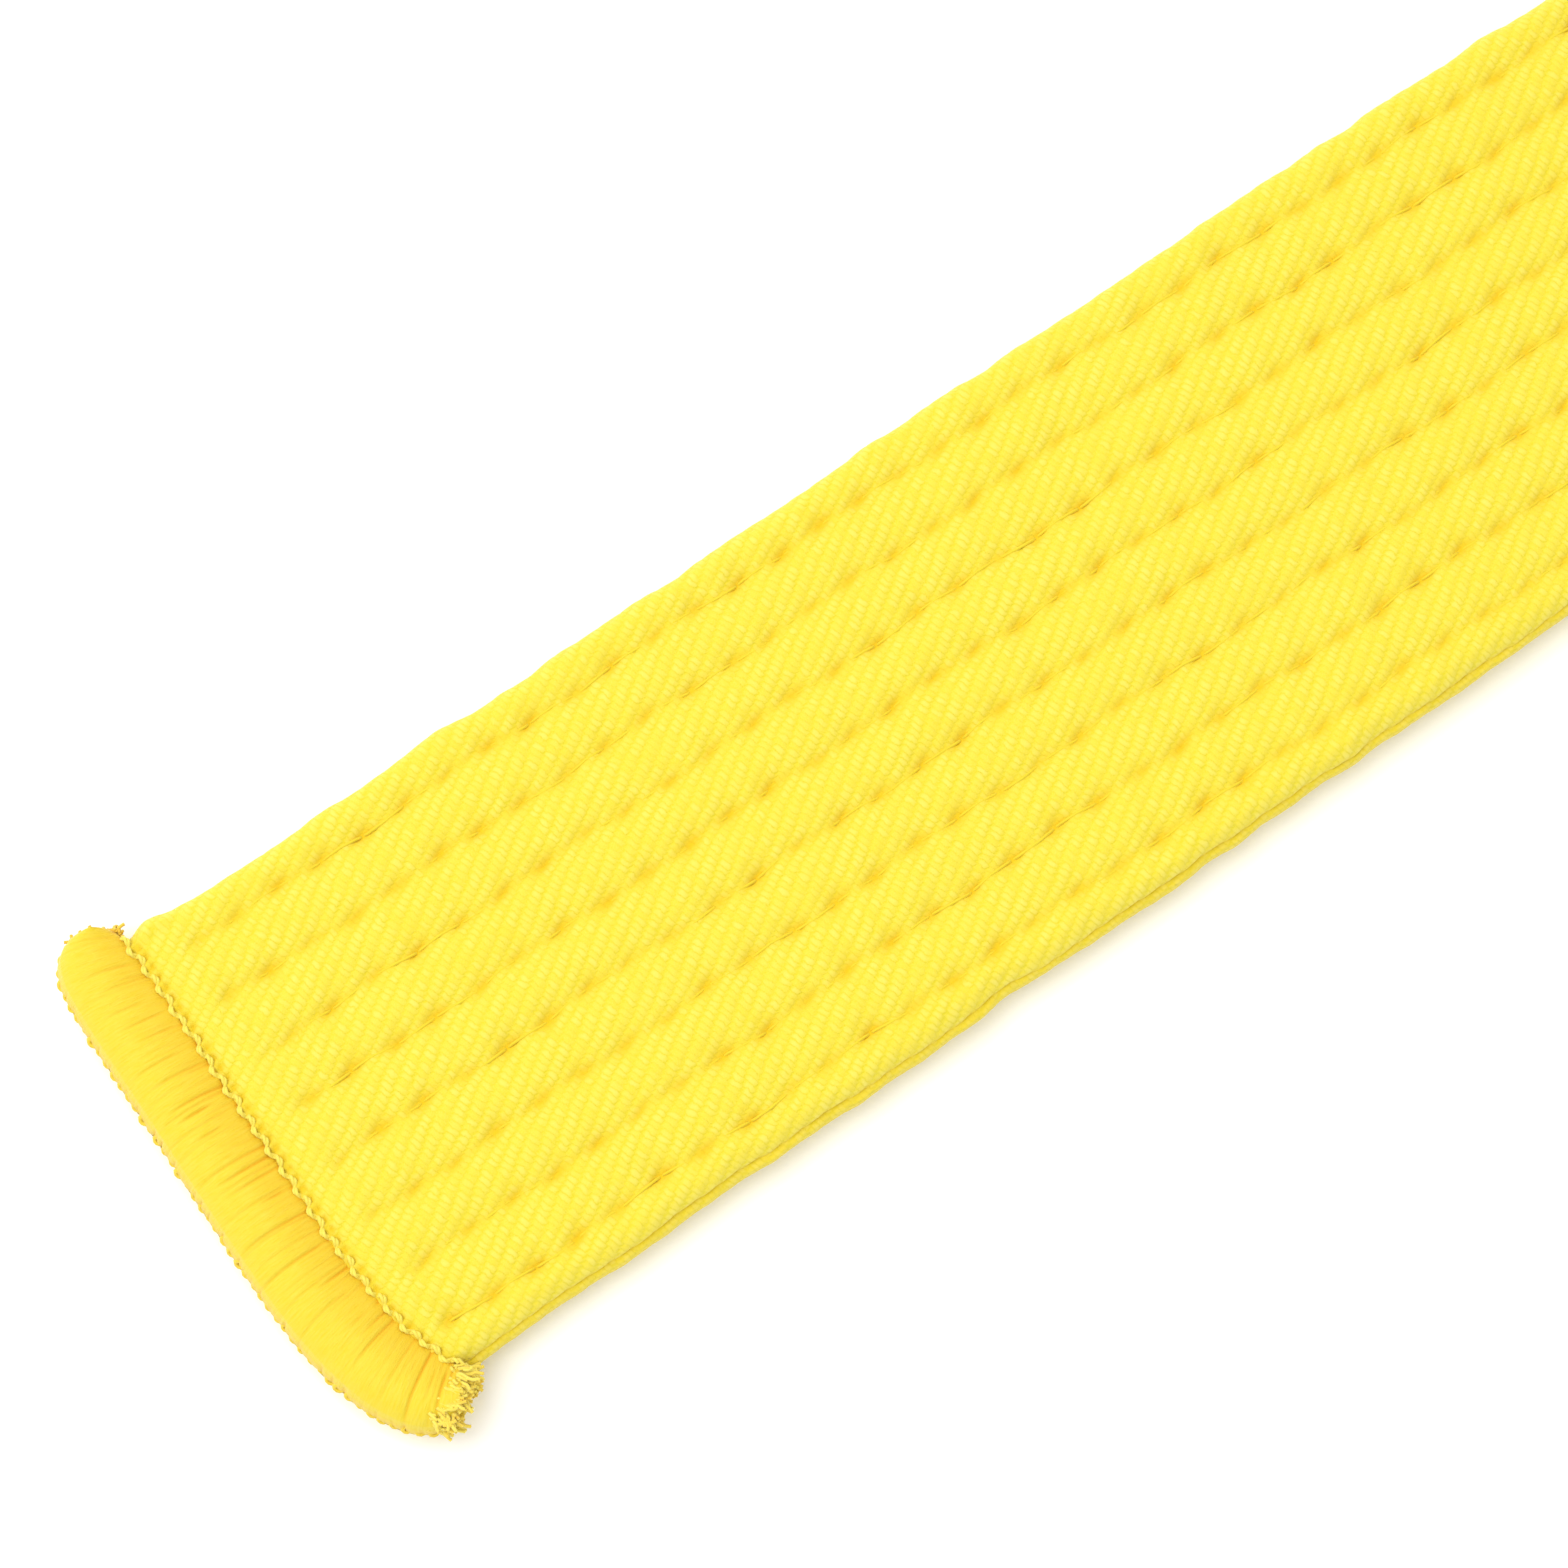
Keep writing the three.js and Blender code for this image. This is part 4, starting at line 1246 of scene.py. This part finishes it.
FIBRE_RADIUS = 0.13
FIBRE_POINTS = 7
LOWEST_FIBRE, HIGHEST_FIBRE = -1.9, 2.5
STOUT_GIRTH, STOUT_REACH = 2.0, 0.8
TAIL_SEED = 501
BRUSH = {
    "root": np.array([(9.2, -20.0, 0.9), (5.7, -22.0, 0.9)]),
    "heading": np.array([0.42, -0.8, 0.05]), "length": 1.05,
    "count": 1400, "spread": np.array([0.3, 0.3, 0.7]), "curl": 0.22,
}
FRINGE = {
    "root": np.array([(3.0, 22.1, 0.5), (6.2, 20.8, 1.0)]),
    "heading": np.array([0.3, 0.75, 0.1]), "length": 0.29,
    "count": 170, "spread": np.array([0.12, 0.12, 0.2]), "curl": 0.9,
}
# The short fringe shows the deeper colour of the thread's inside.
FRINGE_DEPTH = 0.45

tail_thread = thread_material("wrap_tail_thread", (0.87, 0.75, 0.12), SATIN_LIGHT,
                            (0.80, 0.46, 0.02), 0.03)


def frayed(dice, root, heading, length, count, spread, curl):
    """Cut fibres that leave a root region along a heading, each curling on its own.  The
    first fifth are stout and short, and fill the inside of the bunch."""
    lines, girths, tints = [], [], []
    for fibre in range(count):
        stout = fibre < count // 5
        start = root[0] + dice.random() * (root[1] - root[0]) + dice.normal(0, spread, 3)
        way = heading + dice.normal(0, 0.35, 3)
        way /= np.linalg.norm(way)
        bend = dice.normal(0, curl, 3)
        reach = length * dice.uniform(0.55, 1.15) * (STOUT_REACH if stout else 1.0)
        at = np.linspace(0, 1, FIBRE_POINTS)[:, None]
        wiggle = 0.06 * np.sin(at * dice.uniform(4, 11) + dice.uniform(0, 6, 3))
        line = start + way * at * reach + bend * at ** 2 * reach + wiggle * at
        line[:, 2] = np.clip(line[:, 2], LOWEST_FIBRE, HIGHEST_FIBRE)
        lines.append(line)
        girths.append(np.linspace(1.15, 0.75, FIBRE_POINTS) * dice.uniform(0.8, 1.3)
                      * (STOUT_GIRTH if stout else 1.0))
        tints.append(np.clip(0.05 + 0.3 * at[:, 0] ** 2 + dice.normal(0, 0.15), 0, 1))
    return lines, girths, tints


for number, end in enumerate(ENDS):
    dice = np.random.default_rng(TAIL_SEED + number)
    brush = frayed(dice, **BRUSH)
    lines, girths, tints = frayed(dice, **FRINGE)
    fringe = (lines, girths, [np.clip(depth + FRINGE_DEPTH, 0, 1) for depth in tints])
    for side, (lines, girths, tints) in (("right", brush), ("left", fringe)):
        piece = made_by(
            thread_tree, f"{end}_thread_brush_{side}",
            guide_mesh("fibres", [placed_at(end, line) for line in lines], girths, tints),
            {"Thread Radius": FIBRE_RADIUS * MM, "Sides": 4, "Material": tail_thread})
        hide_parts(f"{end}_thread_tail_{side}")
        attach(piece, ENDS[end][2])
